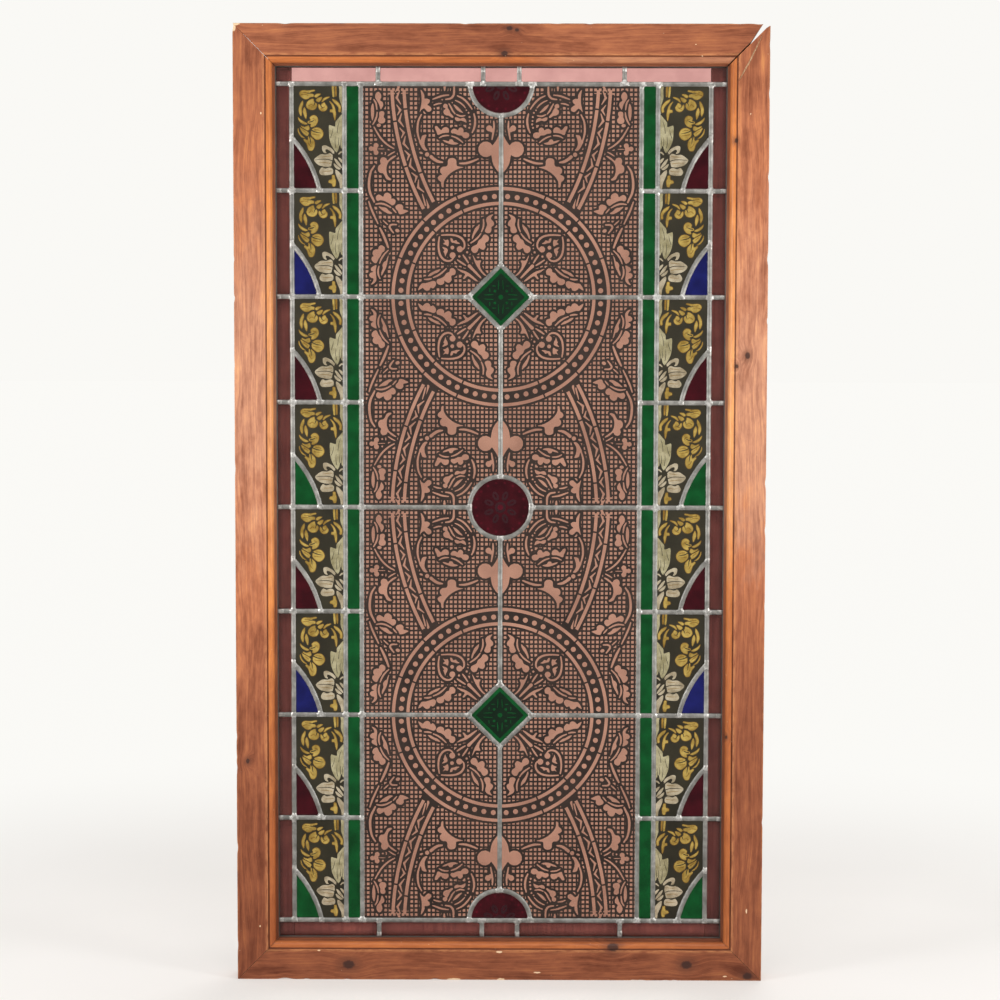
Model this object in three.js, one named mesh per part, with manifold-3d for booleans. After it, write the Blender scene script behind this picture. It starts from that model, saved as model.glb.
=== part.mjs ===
// A leaded stained glass window in a moulded, mitred pine frame.
// Millimetres, +Z up. The front faces -Y, and the origin is the middle of the underside.

import * as THREE from 'three';
import { mergeVertices } from 'three/addons/utils/BufferGeometryUtils.js';
import Module from 'manifold-3d';

const wasm = await Module();
wasm.setup();

// ---- driving dimensions -------------------------------------------------------------------

const frameWidth = 650;
const frameHeight = 1175;
const frameDepth = 44;
const gap = 0.3;                   // clearance left between neighbouring pieces

// frame moulding, across the member from its outer edge and back from its front face
const memberWidth = 50;
const arris = 0.8;
const flatWidth = 38.2;            // the plain face before the quirk
const quirkWidth = 1.6;
const quirkDepth = 1.5;
const ovoloRise = 0.5;             // how far the top of the ovolo lies behind the plain face
const ovoloWidth = 8.2;
const ovoloDepth = 8.4;
const ovoloSteps = 5;
const lipBack = 15.2;              // back of the lip that the leaded panel rests against
const rebateWall = 41;
const openMitreOuter = 8.8;        // the top right joint has shrunk open, most at its outer corner
const openMitreInner = 1.0;
const brokenTip = 2.4;             // worn off the point of the right stile at that joint
const splitWidth = 0.9;            // a crack in the face of the right stile, below that joint
const splitDepth = 1.8;
const splitTop = [12, 14];         // inward from the outer edge, and down from the top
const splitBottom = [37.4, 68];

// glazing beads behind the panel
const beadThickness = 12;
const broadBeadEdge = 69;          // inner edge of the side and bottom beads, from the frame's edge
const topBeadEdge = 50.5;

// leaded panel
const cameWidth = 6;
const cameDepth = 7;
const cameFlat = 3.6;              // width of the flat along the middle of a came's face
const cameBevel = 0.9;
const cameHeart = 1.6;             // the web between two panes
const glassThickness = 3;
const panelFront = lipBack + gap;
const panelClearance = 0.5;        // round the panel, inside the rebate
const panelEdge = rebateWall + panelClearance;
const edgeCameInner = 51;          // inner edge of the broad came round the panel
const edgeGlass = 45.5;            // how far the border glass reaches into that came

// lead lines, measured from the middle of the window or from its lower border line
const sideLine = 255.5;
const stripLine = 191;
const fieldLine = 171;
const endInset = 71;               // border lines, from the frame's lower and upper edges
const shortCames = [22, 150];      // in the upper and lower borders, either side of the middle
const rows = 8;
const tiers = 4;
const roundelRadius = 38;
const diamondReach = 39.5;         // from the middle of a diamond to a corner, on the lead line
const cornerRise = 64;             // corner pieces, up the outer lead line
const cornerRun = 34;              // and along the row's lower lead line
const cornerBow = 5;
const roundelSteps = 20;
const cornerSteps = 3;

// ---- worked out ------------------------------------------------------------------------------

const fieldBottom = endInset;
const fieldTop = frameHeight - endInset;
const rowHeight = (fieldTop - fieldBottom) / rows;
const tierHeight = (fieldTop - fieldBottom) / tiers;
const glassInset = cameHeart / 2 + gap;
const glassFront = panelFront + (cameDepth - glassThickness) / 2;
const beadFront = panelFront + cameDepth + gap;
const point = (x, z) => new THREE.Vector2(x, z);

// ---- materials ---------------------------------------------------------------------------------

const finish = (color, roughness, metalness = 0) => () =>
  new THREE.MeshStandardMaterial({ color, roughness, metalness });

const tinted = (color, opacity) => () =>
  new THREE.MeshStandardMaterial({ color, roughness: 0.1, metalness: 0, transparent: true, opacity });

const stainedPine = finish(0xb0603a, 0.55);
const barePine = finish(0x9a5a38, 0.7);
const lead = finish(0x8b8c86, 0.5, 0.7);
const stencilledGlass = finish(0x7d5a4c, 0.4);
const paintedGlass = finish(0x6b5a22, 0.4);
const pinkGlass = tinted(0xd29c98, 0.6);
const ruby = tinted(0x4a0f1f, 0.75);
const green = tinted(0x0c4a24, 0.75);
const blue = tinted(0x1e2a60, 0.75);

// ---- solids ----------------------------------------------------------------------------------------

const group = new THREE.Group();

function addPiece(name, geometry, material) {
  const piece = new THREE.Mesh(geometry, material());
  piece.name = name;
  group.add(piece);
}

// A flat plate with this outline in the x, z plane, between two depths behind the front face.
function plate(outline, front, back) {
  const geometry = new THREE.ExtrudeGeometry(new THREE.Shape(outline), {
    depth: back - front,
    bevelEnabled: false,
  });
  geometry.rotateX(Math.PI / 2);
  geometry.translate(0, back - frameDepth / 2, 0);
  return geometry;
}

function toSolid(geometry) {
  const bare = geometry.clone();
  bare.deleteAttribute('normal');
  bare.deleteAttribute('uv');
  const merged = mergeVertices(bare);
  return new wasm.Manifold(new wasm.Mesh({
    numProp: 3,
    vertProperties: new Float32Array(merged.attributes.position.array),
    triVerts: new Uint32Array(merged.index.array),
  }));
}

function toGeometry(solid) {
  const mesh = solid.getMesh();
  const geometry = new THREE.BufferGeometry();
  geometry.setAttribute('position', new THREE.BufferAttribute(mesh.vertProperties, 3));
  geometry.setIndex(new THREE.BufferAttribute(mesh.triVerts, 1));
  const facets = geometry.toNonIndexed();
  facets.computeVertexNormals();
  return facets;
}

// Points along a circle in the x, z plane, from one angle to another.
function arc(centre, radius, from, to, steps) {
  const clockwise = to < from;
  return new THREE.ArcCurve(centre.x, centre.y, radius, from, to, clockwise).getPoints(steps);
}

function rectangle(left, bottom, right, top) {
  return [point(left, bottom), point(right, bottom), point(right, top), point(left, top)];
}

// ---- frame ------------------------------------------------------------------------------------------

// The section of the frame: x inward from the outer edge, y back from the front face.
function memberSection() {
  const section = new THREE.Shape();
  const ovoloStart = flatWidth + quirkWidth;
  section.moveTo(0, arris);
  section.lineTo(arris, 0);
  section.lineTo(flatWidth, 0);
  section.lineTo(flatWidth + arris / 2, quirkDepth);
  section.lineTo(ovoloStart, quirkDepth);
  for (let i = 0; i <= ovoloSteps; i++) {
    const turn = (i / ovoloSteps) * Math.PI / 2;
    section.lineTo(
      ovoloStart + ovoloWidth * Math.sin(turn),
      ovoloRise + ovoloDepth * (1 - Math.cos(turn)),
    );
  }
  section.lineTo(memberWidth, ovoloRise + ovoloDepth);
  section.lineTo(memberWidth, lipBack);
  section.lineTo(rebateWall, lipBack);
  section.lineTo(rebateWall, frameDepth);
  section.lineTo(0, frameDepth);
  return section;
}

// A mitred length of the moulding. start and end give how far each end is cut back at each
// distance inward, and along is the way the member runs.
function member(length, start, end, corner, inward, along) {
  const geometry = new THREE.ExtrudeGeometry(memberSection(), { depth: length, bevelEnabled: false });
  const position = geometry.attributes.position;
  for (let i = 0; i < position.count; i++) {
    const across = position.getX(i);
    const atStart = position.getZ(i) < length / 2;
    position.setZ(i, atStart ? start(across) : length - end(across));
  }
  const back = new THREE.Vector3(0, 1, 0);
  geometry.applyMatrix4(new THREE.Matrix4().makeBasis(inward, back, along).setPosition(corner));
  geometry.computeVertexNormals();
  return geometry;
}

// The crack runs down the face of the right stile, from near its point to the quirk.
function splitCutter() {
  const top = point(frameWidth / 2 - splitTop[0], frameHeight - splitTop[1]);
  const bottom = point(frameWidth / 2 - splitBottom[0], frameHeight - splitBottom[1]);
  const middle = point((top.x + bottom.x) / 2 + splitWidth, (top.y + bottom.y) / 2);
  const belowMiddle = point(middle.x - 2 * splitWidth, middle.y);
  return plate([top, belowMiddle, bottom, middle], -1, splitDepth);
}

function buildFrame() {
  const mitre = (across) => across + gap;
  const opened = (across) =>
    across + THREE.MathUtils.lerp(openMitreOuter, openMitreInner, across / memberWidth);
  const worn = (across) => Math.max(across, brokenTip) + gap;

  const left = -frameWidth / 2;
  const right = frameWidth / 2;
  const front = -frameDepth / 2;
  const up = new THREE.Vector3(0, 0, 1);
  const down = new THREE.Vector3(0, 0, -1);
  const toRight = new THREE.Vector3(1, 0, 0);
  const toLeft = new THREE.Vector3(-1, 0, 0);

  const leftStile = member(frameHeight, mitre, mitre, new THREE.Vector3(left, front, 0), toRight, up);
  const topRail = member(
    frameWidth, mitre, opened, new THREE.Vector3(left, front, frameHeight), down, toRight);
  const rightStile = member(
    frameHeight, worn, mitre, new THREE.Vector3(right, front, frameHeight), toLeft, down);
  const bottomRail = member(frameWidth, mitre, mitre, new THREE.Vector3(right, front, 0), up, toLeft);
  const splitStile = toGeometry(toSolid(rightStile).subtract(toSolid(splitCutter())));

  addPiece('left_stile', leftStile, stainedPine);
  addPiece('right_stile', splitStile, stainedPine);
  addPiece('top_rail', topRail, stainedPine);
  addPiece('bottom_rail', bottomRail, stainedPine);
}

// Beads that hold the panel in its rebate from behind. The side beads run the full height.
function buildBeads() {
  const outer = frameWidth / 2 - rebateWall - gap;
  const broad = frameWidth / 2 - broadBeadEdge;
  const low = rebateWall + gap;
  const high = frameHeight - rebateWall - gap;
  const back = beadFront + beadThickness;
  const bead = (outline) => plate(outline, beadFront, back);

  addPiece('left_bead', bead(rectangle(-outer, low, -broad, high)), barePine);
  addPiece('right_bead', bead(rectangle(broad, low, outer, high)), barePine);
  const inner = broad - gap;
  addPiece('bottom_bead', bead(rectangle(-inner, low, inner, broadBeadEdge)), barePine);
  addPiece('top_bead', bead(rectangle(-inner, frameHeight - topBeadEdge, inner, high)), barePine);
}

// ---- glass outlines -----------------------------------------------------------------------------------

// The big panes are one shape, mirrored: u runs out from the middle line and v from the
// round jewel's lead line to the diamond's. A roundel and a diamond take two of its corners.
function fieldOutline() {
  const round = roundelRadius + glassInset;
  const reach = diamondReach + glassInset * (Math.SQRT2 - 1);
  const turn = Math.asin(glassInset / round);
  const outline = arc(point(0, 0), round, turn, Math.PI / 2 - turn, roundelSteps / 4);
  outline.push(point(glassInset, tierHeight - reach));
  outline.push(point(reach, tierHeight - glassInset));
  outline.push(point(fieldLine - glassInset, tierHeight - glassInset));
  outline.push(point(fieldLine - glassInset, glassInset));
  return outline;
}

function fullRoundelOutline() {
  const points = arc(point(0, 0), roundelRadius - glassInset, 0, 2 * Math.PI, roundelSteps);
  return points.slice(0, roundelSteps);
}

function halfRoundelOutline() {
  const radius = roundelRadius - glassInset;
  const turn = Math.asin(glassInset / radius);
  return arc(point(0, 0), radius, turn, Math.PI - turn, roundelSteps / 2);
}

function diamondOutline() {
  const reach = diamondReach - glassInset * Math.SQRT2;
  return [point(reach, 0), point(0, reach), point(-reach, 0), point(0, -reach)];
}

// The bowed lead line that cuts a corner piece off each painted quarry. p runs in from the
// outer lead line, and q up from the row's lower one.
const chord = Math.hypot(cornerRun, cornerRise);
const bowRadius = (chord * chord / 4 + cornerBow * cornerBow) / (2 * cornerBow);
const bowCentre = point(
  cornerRun / 2 - (cornerRise / chord) * (bowRadius - cornerBow),
  cornerRise / 2 - (cornerRun / chord) * (bowRadius - cornerBow),
);

// Points along the bow, down from the outer lead line, for a line this far outside the bow and
// ending this far short of the two lead lines.
function bowPoints(offset, inset) {
  const radius = bowRadius + offset;
  const from = Math.acos((inset - bowCentre.x) / radius);
  const to = Math.asin((inset - bowCentre.y) / radius);
  return arc(bowCentre, radius, from, to, cornerSteps);
}

function cornerOutline() {
  return [point(glassInset, glassInset), ...bowPoints(-glassInset, glassInset).reverse()];
}

function quarryOutline() {
  const width = sideLine - stripLine;
  return [
    ...bowPoints(glassInset, glassInset),
    point(width - glassInset, glassInset),
    point(width - glassInset, rowHeight - glassInset),
    point(glassInset, rowHeight - glassInset),
  ];
}

// Moves an outline into place, mirrored by a scale of -1, with its points kept anticlockwise.
function placed(outline, x, z, scaleX = 1, scaleZ = 1) {
  const moved = outline.map((p) => point(x + scaleX * p.x, z + scaleZ * p.y));
  return THREE.ShapeUtils.isClockWise(moved) ? moved.reverse() : moved;
}

function sideName(side) {
  return side < 0 ? 'left' : 'right';
}

// Every pane: its name, outline and material.
function listPanes() {
  const panes = [];
  const add = (name, outline, material) => panes.push({ name, outline, material });

  for (let tier = 0; tier < tiers; tier++) {
    const roundAbove = tier % 2 === 0;
    const tierTop = fieldTop - tier * tierHeight;
    const z = roundAbove ? tierTop : tierTop - tierHeight;
    for (const side of [-1, 1]) {
      const outline = placed(fieldOutline(), 0, z, side, roundAbove ? -1 : 1);
      add(`${sideName(side)}_field_pane_${tier + 1}`, outline, stencilledGlass);
    }
  }

  add('upper_half_roundel', placed(halfRoundelOutline(), 0, fieldTop, 1, -1), ruby);
  add('upper_diamond', placed(diamondOutline(), 0, fieldTop - tierHeight), green);
  add('roundel', placed(fullRoundelOutline(), 0, fieldTop - 2 * tierHeight), ruby);
  add('lower_diamond', placed(diamondOutline(), 0, fieldTop - 3 * tierHeight), green);
  add('lower_half_roundel', placed(halfRoundelOutline(), 0, fieldBottom), ruby);

  const cornerColours = [ruby, blue, ruby, green];
  for (let row = 0; row < rows; row++) {
    const z = fieldTop - (row + 1) * rowHeight;
    const colour = cornerColours[row % cornerColours.length];
    for (const side of [-1, 1]) {
      const place = (outline) => placed(outline, side * sideLine, z, -side);
      add(`${sideName(side)}_quarry_${row + 1}`, place(quarryOutline()), paintedGlass);
      add(`${sideName(side)}_corner_${row + 1}`, place(cornerOutline()), colour);
    }
  }

  const low = fieldBottom + glassInset;
  const high = fieldTop - glassInset;
  const edge = frameWidth / 2 - edgeGlass;
  for (const side of [-1, 1]) {
    const greenStrip = rectangle(stripLine - glassInset, low, fieldLine + glassInset, high);
    const borderStrip = rectangle(edge, low, sideLine + glassInset, high);
    add(`${sideName(side)}_green_strip`, placed(greenStrip, 0, 0, side), green);
    add(`${sideName(side)}_border_strip`, placed(borderStrip, 0, 0, side), pinkGlass);
  }
  const topStrip = rectangle(-edge, fieldTop + glassInset, edge, frameHeight - edgeGlass);
  const bottomStrip = rectangle(-edge, edgeGlass, edge, fieldBottom - glassInset);
  add('top_border_strip', topStrip, pinkGlass);
  add('bottom_border_strip', bottomStrip, pinkGlass);
  return panes;
}

// ---- lead ---------------------------------------------------------------------------------------------

// Across a came and through it, bevelled towards its edges on both faces.
function cameSection(width) {
  const half = width / 2;
  const flat = half - (cameWidth - cameFlat) / 2;
  return [
    [-flat, 0], [flat, 0], [half, cameBevel], [half, cameDepth - cameBevel],
    [flat, cameDepth], [-flat, cameDepth], [-half, cameDepth - cameBevel], [-half, cameBevel],
  ];
}

// A came swept along a flat path in the x, z plane, mitred at its bends.
function came(path, closed = false, width = cameWidth) {
  const section = cameSection(width);
  const sides = section.length;
  const count = path.length;
  const positions = [];
  for (let i = 0; i < count; i++) {
    const before = closed || i > 0 ? path[(i + count - 1) % count] : null;
    const after = closed || i < count - 1 ? path[(i + 1) % count] : null;
    const arriving = (before ? path[i].clone().sub(before) : after.clone().sub(path[i])).normalize();
    const leaving = (after ? after.clone().sub(path[i]) : arriving.clone()).normalize();
    const normal = point(-arriving.y - leaving.y, arriving.x + leaving.x).normalize();
    const stretch = 1 / (normal.x * -arriving.y + normal.y * arriving.x);
    for (const [across, through] of section) {
      positions.push(
        path[i].x + normal.x * across * stretch,
        panelFront + through - frameDepth / 2,
        path[i].y + normal.y * across * stretch,
      );
    }
  }
  const index = [];
  const lengths = closed ? count : count - 1;
  for (let i = 0; i < lengths; i++) {
    const near = i * sides;
    const far = ((i + 1) % count) * sides;
    for (let side = 0; side < sides; side++) {
      const next = (side + 1) % sides;
      index.push(near + side, far + side, near + next);
      index.push(near + next, far + side, far + next);
    }
  }
  if (!closed) {
    const last = (count - 1) * sides;
    for (let side = 1; side < sides - 1; side++) {
      index.push(0, side, side + 1);
      index.push(last, last + side + 1, last + side);
    }
  }
  const geometry = new THREE.BufferGeometry();
  geometry.setAttribute('position', new THREE.Float32BufferAttribute(positions, 3));
  geometry.setIndex(index);
  return geometry;
}

function straight(x1, z1, x2, z2) {
  return came([point(x1, z1), point(x2, z2)]);
}

// Every came: the lead lines of the panel, each ending inside the one it meets.
function listCames() {
  const cames = [];
  const middleX = frameWidth / 2 - (panelEdge + edgeCameInner) / 2;
  const lowZ = (panelEdge + edgeCameInner) / 2;
  const highZ = frameHeight - lowZ;
  cames.push(came(rectangle(-middleX, lowZ, middleX, highZ), true, edgeCameInner - panelEdge));

  for (const side of [-1, 1]) {
    for (const line of [sideLine, stripLine, fieldLine]) {
      cames.push(straight(side * line, fieldBottom, side * line, fieldTop));
    }
    for (let row = 1; row < rows; row++) {
      const z = fieldBottom + row * rowHeight;
      cames.push(straight(side * middleX, z, side * fieldLine, z));
    }
    for (const x of shortCames) {
      cames.push(straight(side * x, fieldTop, side * x, highZ));
      cames.push(straight(side * x, lowZ, side * x, fieldBottom));
    }
    for (let row = 0; row < rows; row++) {
      const z = fieldBottom + row * rowHeight;
      cames.push(came(bowPoints(0, 0).map((p) => point(side * (sideLine - p.x), z + p.y))));
    }
  }
  for (const z of [fieldBottom, fieldTop]) {
    cames.push(straight(-middleX, z, middleX, z));
  }

  const jewelReach = (line) => (line % 2 === 0 ? roundelRadius : diamondReach);
  for (let tier = 0; tier < tiers; tier++) {
    const high = fieldTop - tier * tierHeight;
    cames.push(straight(0, high - jewelReach(tier), 0, high - tierHeight + jewelReach(tier + 1)));
    if (tier > 0) {
      cames.push(straight(-fieldLine, high, -jewelReach(tier), high));
      cames.push(straight(jewelReach(tier), high, fieldLine, high));
    }
  }

  const ring = arc(point(0, 0), roundelRadius, 0, 2 * Math.PI, roundelSteps).slice(0, roundelSteps);
  const halfRing = arc(point(0, 0), roundelRadius, 0, Math.PI, roundelSteps / 2);
  const diamond = [
    point(diamondReach, 0), point(0, diamondReach), point(-diamondReach, 0), point(0, -diamondReach),
  ];
  const lifted = (path, z, scaleZ = 1) => path.map((p) => point(p.x, z + scaleZ * p.y));
  cames.push(came(lifted(halfRing, fieldTop, -1)));
  cames.push(came(lifted(diamond, fieldTop - tierHeight), true));
  cames.push(came(lifted(ring, fieldTop - 2 * tierHeight), true));
  cames.push(came(lifted(diamond, fieldTop - 3 * tierHeight), true));
  cames.push(came(lifted(halfRing, fieldBottom)));
  return cames;
}

// The outline moved out by a distance, corner by corner.
function grown(outline, distance) {
  const count = outline.length;
  return outline.map((corner, i) => {
    const arriving = corner.clone().sub(outline[(i + count - 1) % count]).normalize();
    const leaving = outline[(i + 1) % count].clone().sub(corner).normalize();
    const outward = point(arriving.y + leaving.y, -arriving.x - leaving.x).normalize();
    const stretch = distance / (outward.x * arriving.y - outward.y * arriving.x);
    return point(corner.x + outward.x * stretch, corner.y + outward.y * stretch);
  });
}

// The soldered net: all the cames joined, less a slot with clearance for each pane.
function buildPanel() {
  const panes = listPanes();
  let net = listCames().map(toSolid).reduce((whole, next) => whole.add(next));
  for (const { outline } of panes) {
    const slot = plate(grown(outline, gap), glassFront - gap, glassFront + glassThickness + gap);
    net = net.subtract(toSolid(slot));
  }
  addPiece('lead_cames', toGeometry(net), lead);
  for (const { name, outline, material } of panes) {
    addPiece(name, plate(outline, glassFront, glassFront + glassThickness), material);
  }
}

buildFrame();
buildBeads();
buildPanel();

export default group;
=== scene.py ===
# A leaded stained glass window in a moulded, mitred pine frame.
# Lengths are in millimetres until a mesh is made. The front faces -Y and Z is up.

import math
import random

import bmesh
import bpy
import numpy as np
from mathutils import Matrix, Vector, noise
from mathutils.geometry import delaunay_2d_cdt


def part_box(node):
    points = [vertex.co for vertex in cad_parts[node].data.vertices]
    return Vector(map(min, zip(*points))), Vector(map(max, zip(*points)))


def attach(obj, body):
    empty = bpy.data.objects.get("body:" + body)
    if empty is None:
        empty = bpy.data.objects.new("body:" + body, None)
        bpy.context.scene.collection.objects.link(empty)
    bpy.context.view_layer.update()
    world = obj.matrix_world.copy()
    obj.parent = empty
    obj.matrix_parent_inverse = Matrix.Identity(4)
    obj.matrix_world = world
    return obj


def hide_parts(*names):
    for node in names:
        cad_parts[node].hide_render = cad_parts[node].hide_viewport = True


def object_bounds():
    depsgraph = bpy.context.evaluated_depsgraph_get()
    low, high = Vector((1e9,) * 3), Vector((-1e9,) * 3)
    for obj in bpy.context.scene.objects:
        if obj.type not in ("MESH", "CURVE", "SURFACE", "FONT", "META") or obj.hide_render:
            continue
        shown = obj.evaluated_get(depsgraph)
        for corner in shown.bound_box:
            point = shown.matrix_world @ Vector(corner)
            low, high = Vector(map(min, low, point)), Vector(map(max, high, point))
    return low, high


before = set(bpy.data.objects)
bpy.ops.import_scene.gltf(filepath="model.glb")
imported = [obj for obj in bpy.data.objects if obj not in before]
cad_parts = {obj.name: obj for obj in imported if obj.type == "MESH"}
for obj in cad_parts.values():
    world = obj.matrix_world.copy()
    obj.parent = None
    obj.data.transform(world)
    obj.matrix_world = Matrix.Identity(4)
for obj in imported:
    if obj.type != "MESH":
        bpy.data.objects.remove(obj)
cad_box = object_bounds()

MM = 0.001


def box(node):
    low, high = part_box(node)
    return low / MM, high / MM


# ---- sizes, from the frame ---------------------------------------------------------------------

frame_low, frame_high = cad_box[0] / MM, cad_box[1] / MM
frame_height = frame_high.z
frame_front = frame_low.y
frame_depth = frame_high.y - frame_front

# the moulding of the frame, inward from its outer edge and back from its front face
ARRIS = 1.1
FLAT_WIDTH = 38.2
QUIRK_WIDTH = 1.6
QUIRK_DEPTH = 1.5
OVOLO_RISE = 0.5
OVOLO_WIDTH = 8.2
OVOLO_DEPTH = 8.4
MEMBER_WIDTH = 50.0
LIP_BACK = 15.2
REBATE_WALL = 41.0
MITRE_GAP = 0.3
OPEN_MITRE_OUTER = 8.8                             # the open mitre's gap at its outer end
OPEN_MITRE_FACE = 1.9                              # and along the rest of its face
OPEN_MITRE_LENGTH = 27.0
BROKEN_TIP = 2.4

lead_low, lead_high = box("lead_cames")
pane_low, pane_high = box("right_field_pane_1")
quarry_low, quarry_high = box("right_quarry_1")

glass_inset = (box("right_green_strip")[0].x - pane_high.x) / 2  # from a lead line to a pane
glass_front, glass_back = pane_low.y, pane_high.y
came_front, came_back = lead_low.y, lead_high.y
field_line = pane_high.x + glass_inset
strip_line = quarry_low.x - glass_inset
side_line = quarry_high.x + glass_inset
field_top = pane_high.z + glass_inset
tiers = 4
rows = 2 * tiers
tier_height = field_top - pane_low.z + glass_inset
row_height = tier_height / 2
field_bottom = field_top - tiers * tier_height
panel_edge = lead_high.x
border_edge = box("right_border_strip")[1].x       # how far the border glass reaches
roundel_radius = box("roundel")[1].x + glass_inset
diamond_reach = box("upper_diamond")[1].x + glass_inset * math.sqrt(2)

# lead lines that no box gives
short_cames = (22.0, 150.0)
corner_rise = 64.0
corner_run = 34.0
corner_bow = 5.0
sight_edge = frame_high.x - MEMBER_WIDTH           # the frame's inner edge
edge_came_inner = sight_edge - 1.0


# ---- meshes ------------------------------------------------------------------------------------

def make_object(name, vertices, faces, materials, kinds=None):
    mesh = bpy.data.meshes.new(name)
    mesh.from_pydata([tuple(c * MM for c in v) for v in vertices], [], faces)
    for material in materials:
        mesh.materials.append(material)
    if kinds is not None:
        mesh.polygons.foreach_set("material_index", kinds)
    mesh.polygons.foreach_set("use_smooth", [True] * len(mesh.polygons))
    piece = bpy.data.objects.new(name, mesh)
    bpy.context.scene.collection.objects.link(piece)
    return piece


def settle(piece, slot, *nodes):
    """The piece rides on the window, and stands for these CAD nodes. slot is not used."""
    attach(piece, "root")
    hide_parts(*nodes)


def face_outwards(piece):
    mesh = bmesh.new()
    mesh.from_mesh(piece.data)
    bmesh.ops.recalc_face_normals(mesh, faces=mesh.faces)
    mesh.to_mesh(piece.data)
    mesh.free()


def sharpen(piece, degrees):
    """Shade smooth, with a sharp edge wherever two faces meet at more than this angle."""
    mesh = bmesh.new()
    mesh.from_mesh(piece.data)
    for edge in mesh.edges:
        edge.smooth = len(edge.link_faces) == 2 and edge.calc_face_angle() < math.radians(degrees)
    mesh.to_mesh(piece.data)
    mesh.free()


def tube_faces(rings, count):
    """Quads between rings of this many points, and the two end faces."""
    faces = []
    for ring in range(rings):
        for i in range(count):
            j = (i + 1) % count
            faces.append((ring * count + i, ring * count + j,
                          (ring + 1) * count + j, (ring + 1) * count + i))
    faces.append(tuple(range(count)))
    faces.append(tuple(range(rings * count, (rings + 1) * count)))
    return faces


# ---- material helpers --------------------------------------------------------------------------

class Finish:
    """A material's node tree, with short calls for the nodes that the finishes share."""

    def __init__(self, name, roughness=0.5, **plain):
        self.material = bpy.data.materials.new(name)
        self.material.use_nodes = True
        self.tree = self.material.node_tree
        self.shader = self.tree.nodes["Principled BSDF"]
        self.shader.inputs["Roughness"].default_value = roughness
        for socket, value in plain.items():
            self.shader.inputs[socket.replace("_", " ")].default_value = value

    def node(self, kind, settings=None, **inputs):
        made = self.tree.nodes.new("ShaderNode" + kind)
        for key, value in (settings or {}).items():
            setattr(made, key, value)
        for key, value in inputs.items():
            self.feed(made.inputs[key.replace("_", " ")], value)
        return made

    def feed(self, socket, value):
        if isinstance(value, bpy.types.NodeSocket):
            self.tree.links.new(value, socket)
        else:
            socket.default_value = value

    def math(self, operation, first, second=0.0):
        made = self.node("Math", {"operation": operation})
        self.feed(made.inputs[0], first)
        self.feed(made.inputs[1], second)
        return made.outputs[0]

    def vector(self, operation, first, second=(0, 0, 0)):
        made = self.node("VectorMath", {"operation": operation})
        self.feed(made.inputs[0], first)
        self.feed(made.inputs[1], second)
        return made.outputs["Value" if operation == "LENGTH" else "Vector"]

    def place(self):
        """Millimetres in the object's own frame."""
        coordinates = self.node("TexCoord").outputs["Object"]
        return self.scaled(coordinates, (1 / MM,) * 3)

    def attribute(self, name):
        return self.node("Attribute", {"attribute_name": name})

    def scaled(self, vector, scale):
        return self.vector("MULTIPLY", vector, scale)

    def noise(self, vector, scale=1.0, detail=3.0, roughness=0.5):
        made = self.node(
            "TexNoise", Vector=vector, Scale=scale, Detail=detail, Roughness=roughness)
        return made.outputs["Fac"]

    def ramp(self, factor, *stops):
        """Stops are (position, linear colour or grey)."""
        made = self.node("ValToRGB", Fac=factor)
        elements = made.color_ramp.elements
        while len(elements) < len(stops):
            elements.new(0.5)
        for element, (position, colour) in zip(elements, stops):
            element.position = position
            grey = isinstance(colour, (int, float))
            element.color = (colour, colour, colour, 1) if grey else (*colour, 1)
        return made.outputs["Color"]

    def weighted(self, *parts):
        """The sum of these values, each times its share."""
        total = None
        for value, share in parts:
            portion = self.math("MULTIPLY", value, share)
            total = portion if total is None else self.math("ADD", total, portion)
        return total

    def spread(self, value, low, high, to_low=0.0, to_high=1.0):
        made = self.node("MapRange", {"interpolation_type": "SMOOTHSTEP"})
        for key, number in zip(("Value", "From Min", "From Max", "To Min", "To Max"),
                               (value, low, high, to_low, to_high)):
            self.feed(made.inputs[key], number)
        return made.outputs["Result"]

    def mix(self, factor, first, second, blend="MIX"):
        made = self.node("Mix", {"data_type": "RGBA", "blend_type": blend})
        self.feed(made.inputs["Factor"], factor)
        self.feed(made.inputs["A"], self.colour(first))
        self.feed(made.inputs["B"], self.colour(second))
        return made.outputs["Result"]

    def colour(self, value):
        if isinstance(value, bpy.types.NodeSocket) or len(value) == 4:
            return value
        return (*value, 1)

    def bump(self, height, distance, strength=1.0):
        """Height from 0 to 1 stands for this distance in millimetres."""
        made = self.node("Bump", Height=height, Distance=distance * MM, Strength=strength)
        self.feed(self.shader.inputs["Normal"], made.outputs["Normal"])

    def paint(self, colour):
        self.feed(self.shader.inputs["Base Color"], self.colour(colour))

    def roughen(self, value):
        self.feed(self.shader.inputs["Roughness"], value)


# ---- finishes ----------------------------------------------------------------------------------

# knots of each frame member: inward, along from its start, and radius
KNOTS = {
    "left_stile": [(14, 274, 3.0)],
    "right_stile": [(24, 400, 4.0), (37, 413, 2.5), (40, 140, 3.0), (46, 870, 2.5)],
    "top_rail": [(6, 335, 3.5), (8, 344, 2.5), (36, 329, 4.0)],
    "bottom_rail": [(19, 512, 7.0), (41.5, 184, 6.5), (20, 93, 6.5), (6, 17, 5.5)],
}

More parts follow.
